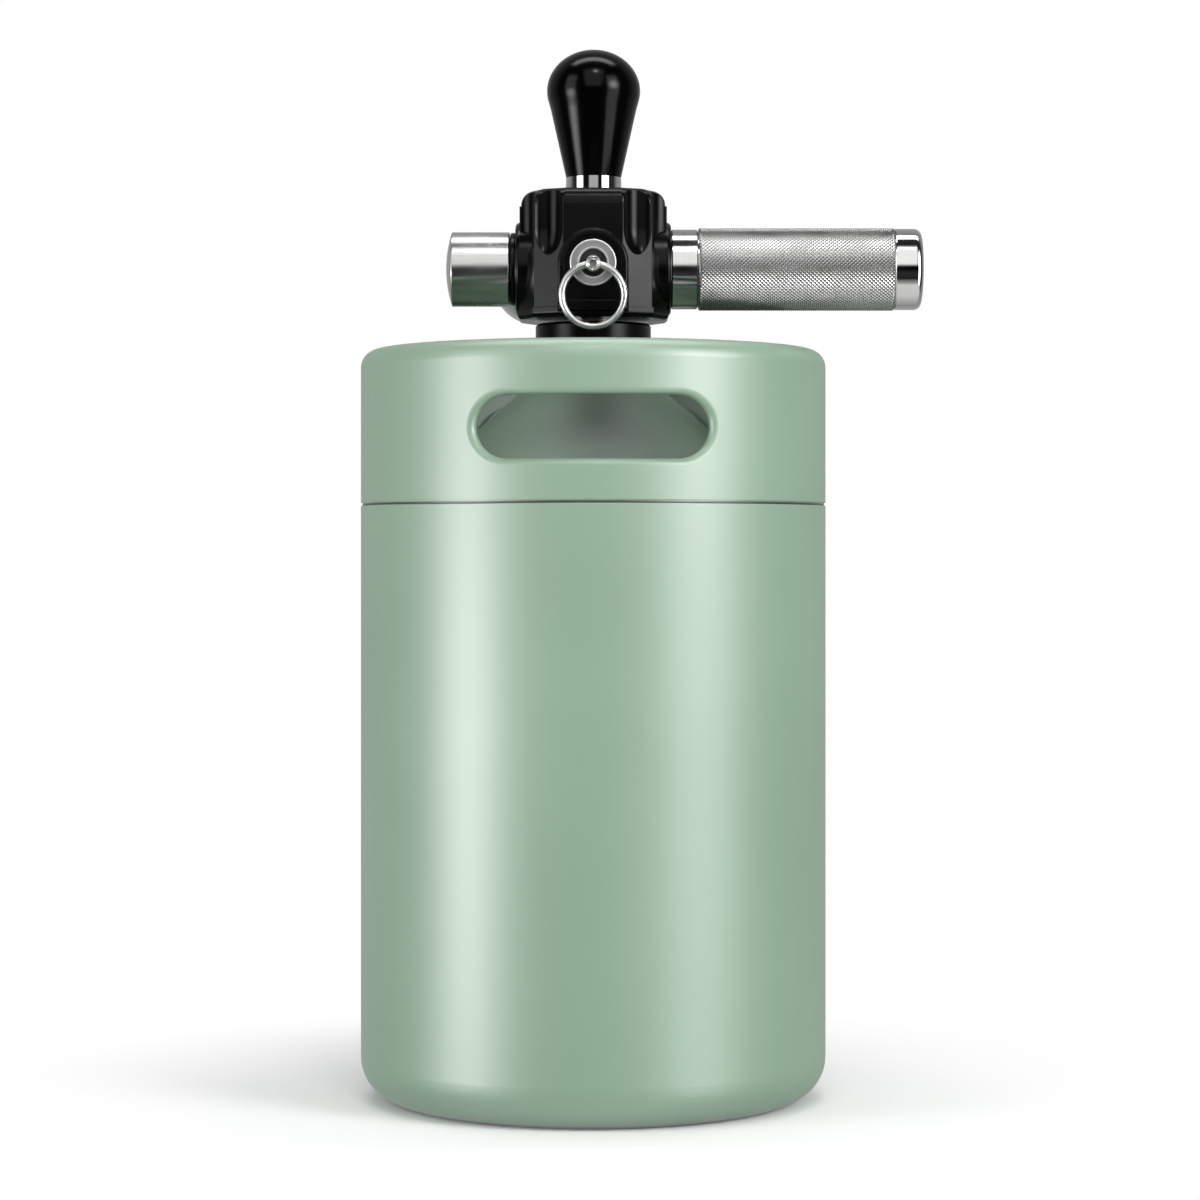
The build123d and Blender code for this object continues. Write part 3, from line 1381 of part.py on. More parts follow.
dome_face = flow_boss_end + free_gap
flow_ring_path = flow_plug_r - flow_ring_r - ring_squeeze
with BuildPart() as flow_plug:
    with BuildSketch(flow_section):
        band(flow_plug_inner, dome_face, 0, flow_plug_r)
        band(
            flow_ring_at - flow_ring_r - ring_squeeze,
            flow_ring_at + flow_ring_r + ring_squeeze,
            flow_ring_path - flow_ring_r - ring_squeeze,
            flow_boss_r,
            mode=Mode.SUBTRACT,
        )
    revolve(axis=flow_axis)
    with BuildSketch(flow_port.offset(dome_face)):
        Rectangle(flow_drive, flow_drive)
    extrude(amount=flow_drive_len)
    with Locations(flow_port.offset(dome_face)):
        Cylinder(flow_screw_r + fit_gap, flow_drive_len, align=from_base, mode=Mode.SUBTRACT)
save(flow_plug, "flow_plug")

with BuildPart(flow_port.offset(flow_ring_at)) as flow_ring:
    Torus(flow_ring_path, flow_ring_r)
save(flow_ring, "flow_ring")

dome_base = dome_face + dome_rim
dome_end = dome_base + dome_high
with BuildPart() as flow_lever:
    with BuildSketch(flow_section):
        with BuildLine():
            Polyline((dome_base, 0), (dome_face, 0), (dome_face, dome_r), (dome_base, dome_r))
            EllipticalCenterArc((dome_base, 0), dome_end - dome_base, dome_r, arc_size=90)
            Line((dome_end, 0), (dome_base, 0))
        make_face()
    revolve(axis=flow_axis)
    # Thumb tab towards the drinker
    with BuildSketch(Plane(origin=(-dome_face, flow_y, port_z), x_dir=(0, 1, 0), z_dir=(-1, 0, 0))):
        with Locations((tab_reach / 2, 0)):
            SlotOverall(tab_reach + tab_wide, tab_wide)
    extrude(amount=tab_thick)
    with BuildSketch(flow_port.offset(dome_face)):
        Rectangle(flow_drive + 2 * fit_gap, flow_drive + 2 * fit_gap)
    extrude(amount=flow_drive_len + fit_gap, mode=Mode.SUBTRACT)
    with Locations(flow_port.offset(dome_face)):
        Cylinder(flow_screw_r + fit_gap, 2 * dome_r, align=from_base, mode=Mode.SUBTRACT)
    with Locations(flow_port.offset(dome_end - flow_screw_head)):
        Cylinder(flow_screw_head_r + fit_gap, dome_r, align=from_base, mode=Mode.SUBTRACT)
save(flow_lever, "flow_lever")

with BuildPart() as flow_screw:
    with Locations(flow_port.offset(dome_face + fit_gap)):
        Cylinder(flow_screw_r, dome_end - flow_screw_head - dome_face, align=from_base)
    with Locations(flow_port.offset(dome_end - flow_screw_head)):
        Cylinder(flow_screw_head_r, flow_screw_head - fit_gap, align=from_base)
    with BuildSketch(flow_port.offset(dome_end)):
        RegularPolygon(eye_hex, 6)
    extrude(amount=-flow_screw_head + eye_hex_deep, mode=Mode.SUBTRACT)
save(flow_screw, "flow_screw")
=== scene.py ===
import bpy
import bmesh
from math import cos, hypot, pi, radians, sin
from mathutils import Matrix, Vector


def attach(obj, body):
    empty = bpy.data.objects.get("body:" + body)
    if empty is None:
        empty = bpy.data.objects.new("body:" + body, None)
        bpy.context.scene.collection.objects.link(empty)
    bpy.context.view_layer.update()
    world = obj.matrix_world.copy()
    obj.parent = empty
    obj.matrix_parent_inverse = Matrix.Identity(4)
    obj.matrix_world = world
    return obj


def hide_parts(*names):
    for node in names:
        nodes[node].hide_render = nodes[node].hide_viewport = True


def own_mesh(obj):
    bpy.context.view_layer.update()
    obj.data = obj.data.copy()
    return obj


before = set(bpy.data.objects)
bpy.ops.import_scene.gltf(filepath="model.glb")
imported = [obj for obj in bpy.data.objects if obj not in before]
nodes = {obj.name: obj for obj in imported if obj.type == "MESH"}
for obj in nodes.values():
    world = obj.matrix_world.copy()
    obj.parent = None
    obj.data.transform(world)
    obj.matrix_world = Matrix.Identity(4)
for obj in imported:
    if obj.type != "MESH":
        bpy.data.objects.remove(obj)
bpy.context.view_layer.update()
scene = bpy.context.scene
portZ = 0.294  # height of the head's four ports
ports = (0, 0, portZ)
valve = (0, 0.066, 0)  # the tap lever and its handle stand over it
print("frame loaded,", len(nodes), "nodes")


def addNode(tree, kind, inputs=None, **settings):
    made = tree.nodes.new(kind)
    for name, value in settings.items():
        setattr(made, name, value)
    for name, value in (inputs or {}).items():
        socket = made.inputs[name]
        if isinstance(value, bpy.types.NodeSocket):
            tree.links.new(value, socket)
        else:
            socket.default_value = value
    return made


def newFinish(name, color, metallic, roughness, **uniform):
    # uniform holds the shader's own sockets, with _ for a space
    finish = bpy.data.materials.new(name)
    finish.use_nodes = True
    tree = finish.node_tree
    shader = tree.nodes["Principled BSDF"]
    shader.inputs["Base Color"].default_value = (*color, 1)
    shader.inputs["Metallic"].default_value = metallic
    shader.inputs["Roughness"].default_value = roughness
    for socket, value in uniform.items():
        shader.inputs[socket.replace("_", " ")].default_value = value
    return finish, tree, shader


def place(tree, shift=(0, 0, 0), stretch=(1, 1, 1)):
    # object coordinates, moved by shift, then stretched
    where = addNode(tree, "ShaderNodeTexCoord").outputs["Object"]
    moved = addNode(tree, "ShaderNodeMapping", {"Vector": where, "Location": shift})
    return addNode(
        tree, "ShaderNodeMapping", {"Vector": moved.outputs[0], "Scale": stretch}
    ).outputs[0]


def turnedPlace(tree, centre, axis):
    # distance along the axis and out from it, so a noise makes lathe rings
    around = place(tree, shift=[-c for c in centre])
    parts = addNode(tree, "ShaderNodeSeparateXYZ", {0: around})
    along = parts.outputs["XYZ".index(axis)]
    flat = [1 - (letter == axis) for letter in "XYZ"]
    radial = addNode(
        tree, "ShaderNodeVectorMath", {0: around, 1: flat}, operation="MULTIPLY"
    )
    out = addNode(
        tree, "ShaderNodeVectorMath", {0: radial.outputs[0]}, operation="LENGTH"
    )
    return addNode(
        tree, "ShaderNodeCombineXYZ", {0: along, 1: out.outputs["Value"]}
    ).outputs[0]


def noise(tree, vector, scale, detail=2.0, rough=0.5):
    return addNode(
        tree,
        "ShaderNodeTexNoise",
        {"Vector": vector, "Scale": scale, "Detail": detail, "Roughness": rough},
    ).outputs["Fac"]


def spread(tree, value, low, high, source=(0.3, 0.7)):
    return addNode(
        tree,
        "ShaderNodeMapRange",
        {"Value": value, "From Min": source[0], "From Max": source[1], "To Min": low, "To Max": high},
    ).outputs["Result"]


def colorMix(tree, factor, dark, light):
    colors = {"Factor": factor, 6: (*dark, 1), 7: (*light, 1)}
    return addNode(tree, "ShaderNodeMix", colors, data_type="RGBA").outputs[2]


def addBump(tree, shader, height, depth, strength=1.0, below=None):
    inputs = {"Height": height, "Distance": depth, "Strength": strength}
    if below is not None:
        inputs["Normal"] = below
    bump = addNode(tree, "ShaderNodeBump", inputs)
    tree.links.new(bump.outputs[0], shader.inputs["Normal"])
    return bump.outputs[0]


def roundedEdges(tree, radius):
    # the light line that a broken edge shows
    return addNode(tree, "ShaderNodeBevel", {"Radius": radius}, samples=6).outputs[0]


def between(tree, value, low, high):
    # 0 up to low, 1 from high on
    return addNode(
        tree, "ShaderNodeMapRange", {"Value": value, "From Min": low, "From Max": high},
        interpolation_type="SMOOTHSTEP",
    ).outputs["Result"]


def calc(tree, kind, first, second):
    return addNode(tree, "ShaderNodeMath", {0: first, 1: second}, operation=kind).outputs[0]


def blend(tree, factor, low, high):
    return addNode(tree, "ShaderNodeMix", {"Factor": factor, "A": low, "B": high}).outputs["Result"]


paint = {
    "light": (0.19, 0.305, 0.21),
    "dark": (0.174, 0.282, 0.193),
    "cloudScale": 14,
    "roughness": (0.42, 0.52),
    "peelScale": 520,
    "peelDepth": 0.00004,
    "grainScale": 2600,
    "grainDepth": 0.00002,
    "inside": (0.32, 0.95),  # painted shade inside the rim: its share in the middle, and at the sides
    "middle": 0.004,
    "sides": 0.036,  # distance of the sides from the middle
    "insideRadius": (0.075, 0.0765),  # all inside, none inside
    "insideFloor": (0.212, 0.214),  # none inside, all inside
    "insideTop": (0.256, 0.264),  # all inside, none inside
    "insideRoughness": 0.7,
    "insideCoat": 0.25,
    "seamLevel": 0.2101,
    "seamHeight": 0.0008,
    "seamShade": 0.03,  # painted shade in the groove between drum and top sleeve
    "footLevel": (0.0008, 0.0016),  # painted contact shadow: dark up to there, plain from the next on
    "foot": 0.06,  # shade of the painted contact shadow along the edge that the keg stands on
}


def kegPaint():
    finish, tree, shader = newFinish(
        "kegPaint", paint["dark"], 0.0, 0.45,
        Specular_IOR_Level=0.95, Coat_Roughness=0.44, Coat_IOR=1.75,
    )
    at = place(tree)
    cloud = spread(tree, noise(tree, at, paint["cloudScale"], 3), 0, 1)
    color = colorMix(tree, cloud, paint["dark"], paint["light"])
    parts = addNode(tree, "ShaderNodeSeparateXYZ", {0: at})
    flat = addNode(tree, "ShaderNodeCombineXYZ", {0: parts.outputs[0], 1: parts.outputs[1]})
    out = addNode(tree, "ShaderNodeVectorMath", {0: flat.outputs[0]}, operation="LENGTH")
    radius, level = out.outputs["Value"], parts.outputs[2]
    within = between(tree, radius, paint["insideRadius"][1], paint["insideRadius"][0])
    above = between(tree, level, *paint["insideFloor"])
    below = between(tree, level, paint["insideTop"][1], paint["insideTop"][0])
    inside = calc(tree, "MULTIPLY", calc(tree, "MULTIPLY", within, above), below)
    atSeam = addNode(
        tree, "ShaderNodeMath", {0: level, 1: paint["seamLevel"], 2: paint["seamHeight"] / 2},
        operation="COMPARE",
    ).outputs[0]
    # painted shade inside the rim: darkest in the middle, less towards the sides, where the flanks
    # catch the light
    offMiddle = calc(tree, "ABSOLUTE", calc(tree, "SUBTRACT", parts.outputs[0], paint["middle"]), 0)
    inner = blend(tree, between(tree, offMiddle, 0, paint["sides"]), *paint["inside"])
    paintedShade = blend(tree, inside, 1, inner)
    # painted shade along the groove between drum and top sleeve
    paintedShade = calc(tree, "MULTIPLY", paintedShade, blend(tree, atSeam, 1, paint["seamShade"]))
    # painted contact shadow along the edge that the keg stands on
    atContactShadow = between(tree, level, paint["footLevel"][1], paint["footLevel"][0])
    paintedShade = calc(tree, "MULTIPLY", paintedShade, blend(tree, atContactShadow, 1, paint["foot"]))
    dimmed = addNode(
        tree, "ShaderNodeVectorMath", {0: color, "Scale": paintedShade}, operation="SCALE"
    ).outputs[0]
    tree.links.new(dimmed, shader.inputs["Base Color"])
    peel = noise(tree, at, paint["peelScale"], 2)
    grain = noise(tree, at, paint["grainScale"], 2)
    insideRough = calc(tree, "MULTIPLY", inside, paint["insideRoughness"])
    rough = calc(tree, "MAXIMUM", spread(tree, grain, *paint["roughness"]), insideRough)
    tree.links.new(rough, shader.inputs["Roughness"])
    tree.links.new(blend(tree, inside, 1, paint["insideCoat"]), shader.inputs["Coat Weight"])
    soft = addBump(tree, shader, peel, paint["peelDepth"], 0.5)
    addBump(tree, shader, grain, paint["grainDepth"], 0.6, soft)
    return finish


def blackCoat(name, color, roughness, scale=1800, edge=0.0004, wearScale=60):
    # coated metal, a little worn
    finish, tree, shader = newFinish(
        name, color, 0.0, roughness, Specular_IOR_Level=0.16
    )
    at = place(tree)
    wear = noise(tree, at, wearScale, 4, 0.6)
    tree.links.new(spread(tree, wear, roughness - 0.05, roughness + 0.08), shader.inputs["Roughness"])
    tree.links.new(
        colorMix(tree, spread(tree, wear, 0, 1), color, [c * 1.7 for c in color]),
        shader.inputs["Base Color"],
    )
    addBump(tree, shader, noise(tree, at, scale, 2), 0.00001, 0.5, roundedEdges(tree, edge))
    return finish


def turnedSteel(
    name, color, roughness, centre, axis, ringScale=2400, depth=0.000012, smudgeScale=90,
):
    # steel off the lathe: fine rings round the axis
    finish, tree, shader = newFinish(name, color, 1.0, roughness)
    rings = noise(tree, turnedPlace(tree, centre, axis), ringScale, 3, 0.6)
    smudge = noise(tree, place(tree), smudgeScale, 3)
    tree.links.new(spread(tree, smudge, roughness * 0.8, roughness * 1.25), shader.inputs["Roughness"])
    tree.links.new(
        colorMix(tree, spread(tree, rings, 0, 1), [c * 0.88 for c in color], color),
        shader.inputs["Base Color"],
    )
    addBump(tree, shader, rings, depth, 0.6)
    return finish


def brushedSteel(name, color, roughness, stretch, depth=0.000015, smudgeScale=70):
    # steel with straight brush lines, long where stretch is small
    finish, tree, shader = newFinish(name, color, 1.0, roughness)
    lines = noise(tree, place(tree, stretch=stretch), 1, 4, 0.6)
    smudge = noise(tree, place(tree), smudgeScale, 3)
    tree.links.new(spread(tree, smudge, roughness * 0.85, roughness * 1.2), shader.inputs["Roughness"])
    tree.links.new(
        colorMix(tree, spread(tree, lines, 0, 1), [c * 0.8 for c in color], color),
        shader.inputs["Base Color"],
    )
    addBump(tree, shader, lines, depth, 0.6)
    return finish


def polishedSteel(name, color, roughness, smudgeScale=120, fineScale=900):
    finish, tree, shader = newFinish(name, color, 1.0, roughness)
    at = place(tree)
    smudge = noise(tree, at, smudgeScale, 4, 0.6)
    tree.links.new(spread(tree, smudge, roughness * 0.6, roughness * 1.8), shader.inputs["Roughness"])
    tree.links.new(
        colorMix(tree, spread(tree, smudge, 0, 1), [c * 0.94 for c in color], color),
        shader.inputs["Base Color"],
    )
    addBump(tree, shader, noise(tree, at, fineScale, 2), 0.000004, 0.3)
    return finish


def moulded(name, color, roughness, scale=1500, cloudScale=40, **uniform):
    # rubber and plastic
    finish, tree, shader = newFinish(name, color, 0.0, roughness, **uniform)
    at = place(tree)
    fine = noise(tree, at, scale, 2)
    cloud = spread(tree, noise(tree, at, cloudScale, 3), 0, 1)
    tree.links.new(spread(tree, fine, roughness * 0.9, roughness * 1.1), shader.inputs["Roughness"])
    tree.links.new(
        colorMix(tree, cloud, color, [c * 1.25 for c in color]),
        shader.inputs["Base Color"],
    )
    addBump(tree, shader, fine, 0.000008, 0.4)
    return finish


disc = {
    # painted shade and highlight bands: radius that each band ends at, and how light it is
    "paintedBands": [(0.0047, 0.05), (0.0054, 0.85), (0.0076, 0.4), (0.0082, 0.9)],
    "blur": 0.00012,
    "ringScale": 3200,
}


def discFinish():
    # the relief valve's disc: painted shade in its dish, and a grey face with painted highlights on
    # its two edges
    finish, tree, shader = newFinish("discSteel", (0.4, 0.4, 0.4), 1.0, 0.5)
    spot = turnedPlace(tree, ports, "Y")
    radius = addNode(tree, "ShaderNodeSeparateXYZ", {0: spot}).outputs[1]
    light = disc["paintedBands"][0][1]
    for inner, outer in zip(disc["paintedBands"], disc["paintedBands"][1:]):
        past = between(tree, radius, inner[0], inner[0] + disc["blur"])
        light = blend(tree, past, light, outer[1])
    rings = noise(tree, spot, disc["ringScale"], 3, 0.6)
    # the painted shade and highlights, marked by the turned rings
    paintedBandsWithRings = calc(tree, "MULTIPLY", light, spread(tree, rings, 0.75, 1.1))
    tree.links.new(
        addNode(tree, "ShaderNodeCombineColor", {0: paintedBandsWithRings, 1: paintedBandsWithRings, 2: paintedBandsWithRings}).outputs[0],
        shader.inputs["Base Color"],
    )
    addBump(tree, shader, rings, 0.00002, 0.6)
    return finish


painted = kegPaint()
headBlack = blackCoat("headBlack", (0.0008, 0.001, 0.0008), 0.2)
collarBlack = blackCoat("collarBlack", (0.0012, 0.0013, 0.0012), 0.24)
knobSteel = brushedSteel("knobSteel", (0.66, 0.66, 0.65), 0.24, (30, 1600, 1600))
inletSteel = turnedSteel("inletSteel", (0.7, 0.7, 0.69), 0.13, ports, "X")
knurlSteel = turnedSteel("knurlSteel", (0.36, 0.36, 0.355), 0.34, ports, "X", 900, 0.000006)
capSteel = polishedSteel("capSteel", (0.74, 0.74, 0.73), 0.05)
ringSteel = polishedSteel("ringSteel", (0.78, 0.78, 0.77), 0.3)
chrome = polishedSteel("chrome", (0.76, 0.76, 0.76), 0.04)
discSteel = discFinish()
stemSteel = turnedSteel("stemSteel", (0.34, 0.34, 0.33), 0.4, ports, "Y")
eyeSteel = polishedSteel("eyeSteel", (0.66, 0.66, 0.65), 0.22)
darkSteel = turnedSteel("darkSteel", (0.4, 0.4, 0.4), 0.35, ports, "X")
leverSteel = turnedSteel("leverSteel", (0.55, 0.55, 0.54), 0.22, valve, "Z")
tubeSteel = turnedSteel("tubeSteel", (0.58, 0.58, 0.57), 0.3, (0, 0, 0), "Z")
wireSteel = polishedSteel("wireSteel", (0.5, 0.5, 0.5), 0.25)
zincSteel = blackCoat("zincSteel", (0.5, 0.5, 0.52), 0.35)
brassTurned = turnedSteel("brassTurned", (0.72, 0.5, 0.2), 0.28, valve, "Z")
sealRubber = moulded("sealRubber", (0.012, 0.012, 0.012), 0.7)
seatPlastic = moulded("seatPlastic", (0.72, 0.72, 0.68), 0.4)
handleBlack = moulded("handleBlack", (0.0006, 0.0006, 0.0006), 0.15, 300, Specular_IOR_Level=0.15)

finishOf = {
    "vessel": painted,
    "top_chime": painted,
    "threaded_neck": tubeSteel,
    "tailpiece": tubeSteel,
    "dip_tube": tubeSteel,
    "coupling_collar": collarBlack,
    "head_body": headBlack,
    "regulator_bonnet": headBlack,
    "regulator_knob": knobSteel,
    "inlet_adapter": inletSteel,
    "cartridge_sleeve": knurlSteel,
    "sleeve_end_cap": capSteel,
    "pull_ring": ringSteel,
    "relief_stem": stemSteel,
    "relief_bush": discSteel,
    "handle_ferrule": chrome,
    "flow_lever": chrome,
    "faucet_body": chrome,
    "faucet_bonnet": chrome,
    "faucet_shank": chrome,
    "coupling_nut": chrome,
    "faucet_spout": chrome,
    "tap_lever": leverSteel,
    "handle_knob": handleBlack,
    "handle_insert": brassTurned,
    "co2_cartridge": zincSteel,
    "regulator_spring": wireSteel,
    "relief_spring": wireSteel,
}
for name in (
    "regulator_spindle", "spring_cup", "regulator_piston", "pierce_pin",
    "valve_shaft", "flow_plug", "knob_screw", "flow_screw",
):
    finishOf[name] = darkSteel
for name in (
    "neck_seal", "dip_tube_seal", "inlet_ring", "cap_ring", "shank_ring",
    "spout_ring", "flow_ring", "piston_ring", "coupling_seal", "cartridge_pad",
):
    finishOf[name] = sealRubber
for name in (
    "pierce_seal", "valve_seat", "relief_seat", "relief_poppet", "ball_washer", "shaft_seat",
):
    finishOf[name] = seatPlastic
for name, node in nodes.items():
    node.data.materials.clear()
    node.data.materials.append(finishOf[name])
print("finishes set")


def newPiece(name, mesh, finish, body, slot, *replaced, smooth=True, angle=35):
    bmesh.ops.recalc_face_normals(mesh, faces=mesh.faces)
    for face in mesh.faces:
        face.smooth = smooth
    for edge in mesh.edges:
        if len(edge.link_faces) == 2 and edge.calc_face_angle(0) > radians(angle):
            edge.smooth = False
    data = bpy.data.meshes.new(name)
    mesh.to_mesh(data)
    mesh.free()
    data.materials.append(finish)
    piece = bpy.data.objects.new(name, data)
    scene.collection.objects.link(piece)
    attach(piece, body)
    if replaced:
        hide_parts(*replaced)
    return piece


def crossRing(mesh, ring, along, radius):
    # carries a ring of edges on round the port's cross axis, to a new place and radius
    grown = bmesh.ops.extrude_edge_only(mesh, edges=ring)["geom"]
    corners = [item for item in grown if isinstance(item, bmesh.types.BMVert)]
    first = corners[0].co
    scale = radius / hypot(first.y, first.z - portZ)
    bmesh.ops.scale(
        mesh, vec=(1, scale, scale), space=Matrix.Translation((0, 0, -portZ)), verts=corners
    )
    bmesh.ops.translate(mesh, vec=(along - first.x, 0, 0), verts=corners)
    return [item for item in grown if isinstance(item, bmesh.types.BMEdge)]


sleeve = {
    "start": 0.0374,
    "end": 0.1068,
    "around": 66,  # diamonds round the sleeve
    "along": 48,  # and from end to end
    "valley": 0.01434,  # radius between the diamonds
    "diamond": 0.00036,  # height of a diamond
    "rim": 0.0004,  # smooth edge at each end
    "rimRadius": 0.01455,
    "bores": [  # distance along, radius: from the inlet's end to the cap's
        (0.0374, 0.0126), (0.0483, 0.0126), (0.0483, 0.0114),
        (0.0983, 0.0114), (0.0983, 0.01295), (0.1068, 0.01295),
    ],
}


def knurledSleeve():
    mesh = bmesh.new()
    low, high = sleeve["start"] + sleeve["rim"], sleeve["end"] - sleeve["rim"]
    ends = [mesh.verts.new((at, 0, portZ + sleeve["valley"])) for at in (low, high)]
    line = mesh.edges.new(ends)
    bmesh.ops.subdivide_edges(mesh, edges=[line], cuts=sleeve["along"] - 1)
    bmesh.ops.spin(
        mesh, geom=mesh.verts[:] + mesh.edges[:], cent=ports, axis=(1, 0, 0),
        angle=2 * pi, steps=sleeve["around"], use_merge=True,
    )
    bmesh.ops.recalc_face_normals(mesh, faces=mesh.faces)
    inner = [edge for edge in mesh.edges if len(edge.link_faces) == 2]
    bmesh.ops.poke(mesh, faces=mesh.faces[:])
    bmesh.ops.dissolve_edges(mesh, edges=inner, use_verts=False)
    rims = [edge for edge in mesh.edges if len(edge.link_faces) == 1]
    bmesh.ops.poke(mesh, faces=mesh.faces[:], offset=sleeve["diamond"])
    middle = (low + high) / 2
    inletRing = [edge for edge in rims if edge.verts[0].co.x < middle]
    capRing = [edge for edge in rims if edge.verts[0].co.x > middle]
    brokenRadius = sleeve["rimRadius"] - sleeve["rim"] / 2
    inletRing = crossRing(mesh, inletRing, low, sleeve["rimRadius"])
    inletRing = crossRing(mesh, inletRing, sleeve["start"], brokenRadius)
    capRing = crossRing(mesh, capRing, high, sleeve["rimRadius"])
    capRing = crossRing(mesh, capRing, sleeve["end"], brokenRadius)
    for along, radius in sleeve["bores"]:
        inletRing = crossRing(mesh, inletRing, along, radius)
    bmesh.ops.bridge_loops(mesh, edges=inletRing + capRing)
    newPiece(
        "knurledSleeve", mesh, knurlSteel, "sleeve", "brushed_steel", "cartridge_sleeve",
        smooth=False,
    )


pull = {
    "centre": (0, -0.0329, 0.2824),
    "radius": 0.0108,  # of the wire's middle line
    "wire": 0.0012,  # radius of the wire
    "sides": 28,
    "around": 120,
}


def pullRing():
    mesh = bmesh.new()
    centre = Vector(pull["centre"])
    bmesh.ops.create_circle(
        mesh, segments=pull["sides"], radius=pull["wire"],
        matrix=Matrix.Translation(centre + Vector((pull["radius"], 0, 0))),
    )
    bmesh.ops.spin(
        mesh, geom=mesh.verts[:] + mesh.edges[:], cent=centre, axis=(0, 1, 0),
        angle=2 * pi, steps=pull["around"], use_merge=True,
    )
    newPiece("pullRing", mesh, ringSteel, "ring", "polished_steel", "pull_ring")


eyeFace = {
    "height": 0.2932,  # of the eye's middle
    # radius and distance forward of the points of its two raised rings
    "outline": [
        (0.00122, 0.0351), (0.00126, 0.03545), (0.0015, 0.03555), (0.00168, 0.0353),
        (0.00195, 0.0353), (0.0021, 0.03565), (0.0025, 0.03565), (0.0026, 0.0351),
    ],
    "around": 40,
    "rounding": 2,
}


def eyeRings():
    mesh = bmesh.new()
    corners = [
        mesh.verts.new((radius, -forward, eyeFace["height"])) for radius, forward in eyeFace["outline"]
    ]
    for start, end in zip(corners, corners[1:] + corners[:1]):
        mesh.edges.new((start, end))
    bmesh.ops.spin(
        mesh, geom=mesh.verts[:] + mesh.edges[:], cent=(0, 0, eyeFace["height"]), axis=(0, 1, 0),
        angle=2 * pi, steps=eyeFace["around"], use_merge=True,
    )
    piece = newPiece("eyeRings", mesh, eyeSteel, "relief", "grey_steel", angle=180)
    rounder = piece.modifiers.new("rounder", "SUBSURF")
    rounder.levels = rounder.render_levels = eyeFace["rounding"]


springs = {
    # the piece's name, the joint that squeezes it, how far, its axis and the end that stays
    "regulator_spring": ("regulatorCoils", "cup_slide", 0.00376, (1, 0, 0), (-0.02425, 0, portZ)),
    "relief_spring": ("reliefCoils", "relief_pull", 0.003, (0, 1, 0), (0, -0.02755, portZ)),
}
weldDistance = 0.000001


def squeezedSpring(node, name, joint, travel, axis, stays):
    mesh = bmesh.new()
    mesh.from_mesh(nodes[node].data)
    bmesh.ops.remove_doubles(mesh, verts=mesh.verts, dist=weldDistance)
    wire = newPiece(name, mesh, wireSteel, "head", "spring_steel", node)
    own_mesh(wire)


knurledSleeve()
pullRing()
eyeRings()
for node, motion in springs.items():
    squeezedSpring(node, *motion)
print("knurled sleeve, pull ring, eye and springs made")


view = {
    "distance": 1.196,  # from the keg's axis
    "height": 0.1924,
    "side": 0.0024,
    "lens": 100.8,
    "sensor": 36,
    "shift": -0.0375,
}
eye = bpy.data.cameras.new("camera")
eye.lens = view["lens"]
eye.sensor_width = view["sensor"]
eye.shift_y = view["shift"]
camera = bpy.data.objects.new("camera", eye)
camera.location = (view["side"], -view["distance"], view["height"])
camera.rotation_euler = (pi / 2, 0, 0)
scene.collection.objects.link(camera)
scene.camera = camera

boxes = {
    # azimuth from the camera's side, elevation, distance, width, height, brightness,
    # then the hot spot: brightness, radius, height above the middle
    "leftBox": (-61, 1, 1.5, 0.95, 3.0, 2.3, 13, 0.46, -0.2),
    "rightBox": (52, 1, 1.5, 1.0, 3.0, 2.8, 14.5, 0.5, 0.42),
    "frontBox": (0, 37, 1.7, 1.6, 2.15, 1.15, 0, 0.3, 0),
    "spotBox": (8, 58, 1.4, 0.36, 0.36, 0, 20, 0.17, 0),
    "topBox": (0, 99, 1.4, 1.8, 0.42, 6, 0, 0.3, 0),
}
boxAim = (0, 0, 0.24)  # what every box points at
evenShare = 0.62  # how much of a box's half size is evenly bright, before its soft edge


def softBox(
    name, azimuth, elevation, distance, width, height, brightness, hot, hotRadius, hotHeight,
):
    lamp = bpy.data.lights.new(name, "AREA")
    lamp.shape = "RECTANGLE"
    lamp.size = width
    lamp.size_y = height
    lamp.energy = pi * width * height
    lamp.use_nodes = True
    tree = lamp.node_tree
    cloth = addNode(tree, "ShaderNodeNewGeometry").outputs["Parametric"]
    centred = addNode(
        tree, "ShaderNodeVectorMath", {0: cloth, 1: (-0.5, -0.5, 0)}, operation="ADD"
    ).outputs[0]
    onCloth = addNode(
        tree, "ShaderNodeVectorMath", {0: centred, 1: (width, height, 0)}, operation="MULTIPLY"
    ).outputs[0]
    parts = addNode(tree, "ShaderNodeSeparateXYZ", {0: onCloth})
    share = brightness
    for part, size in ((parts.outputs[0], width), (parts.outputs[1], height)):
        offMiddle = calc(tree, "ABSOLUTE", part, 0)
        edge = between(tree, offMiddle, size / 2, size / 2 * evenShare)
        share = calc(tree, "MULTIPLY", edge, share)
    fromHot = addNode(
        tree, "ShaderNodeVectorMath", {0: onCloth, 1: (0, hotHeight, 0)}, operation="DISTANCE"
    ).outputs["Value"]
    glow = calc(tree, "MULTIPLY", between(tree, fromHot, hotRadius, 0), hot)
    emission = tree.nodes["Emission"]
    tree.links.new(calc(tree, "ADD", share, glow), emission.inputs["Strength"])
    box = bpy.data.objects.new(name, lamp)
    turn, rise = radians(azimuth), radians(elevation)
    away = Vector((sin(turn) * cos(rise), -cos(turn) * cos(rise), sin(rise)))
    box.location = Vector(boxAim) + away * distance
    box.rotation_euler = away.to_track_quat("Z", "Y").to_euler()
    scene.collection.objects.link(box)


for name, values in boxes.items():
    softBox(name, *values)

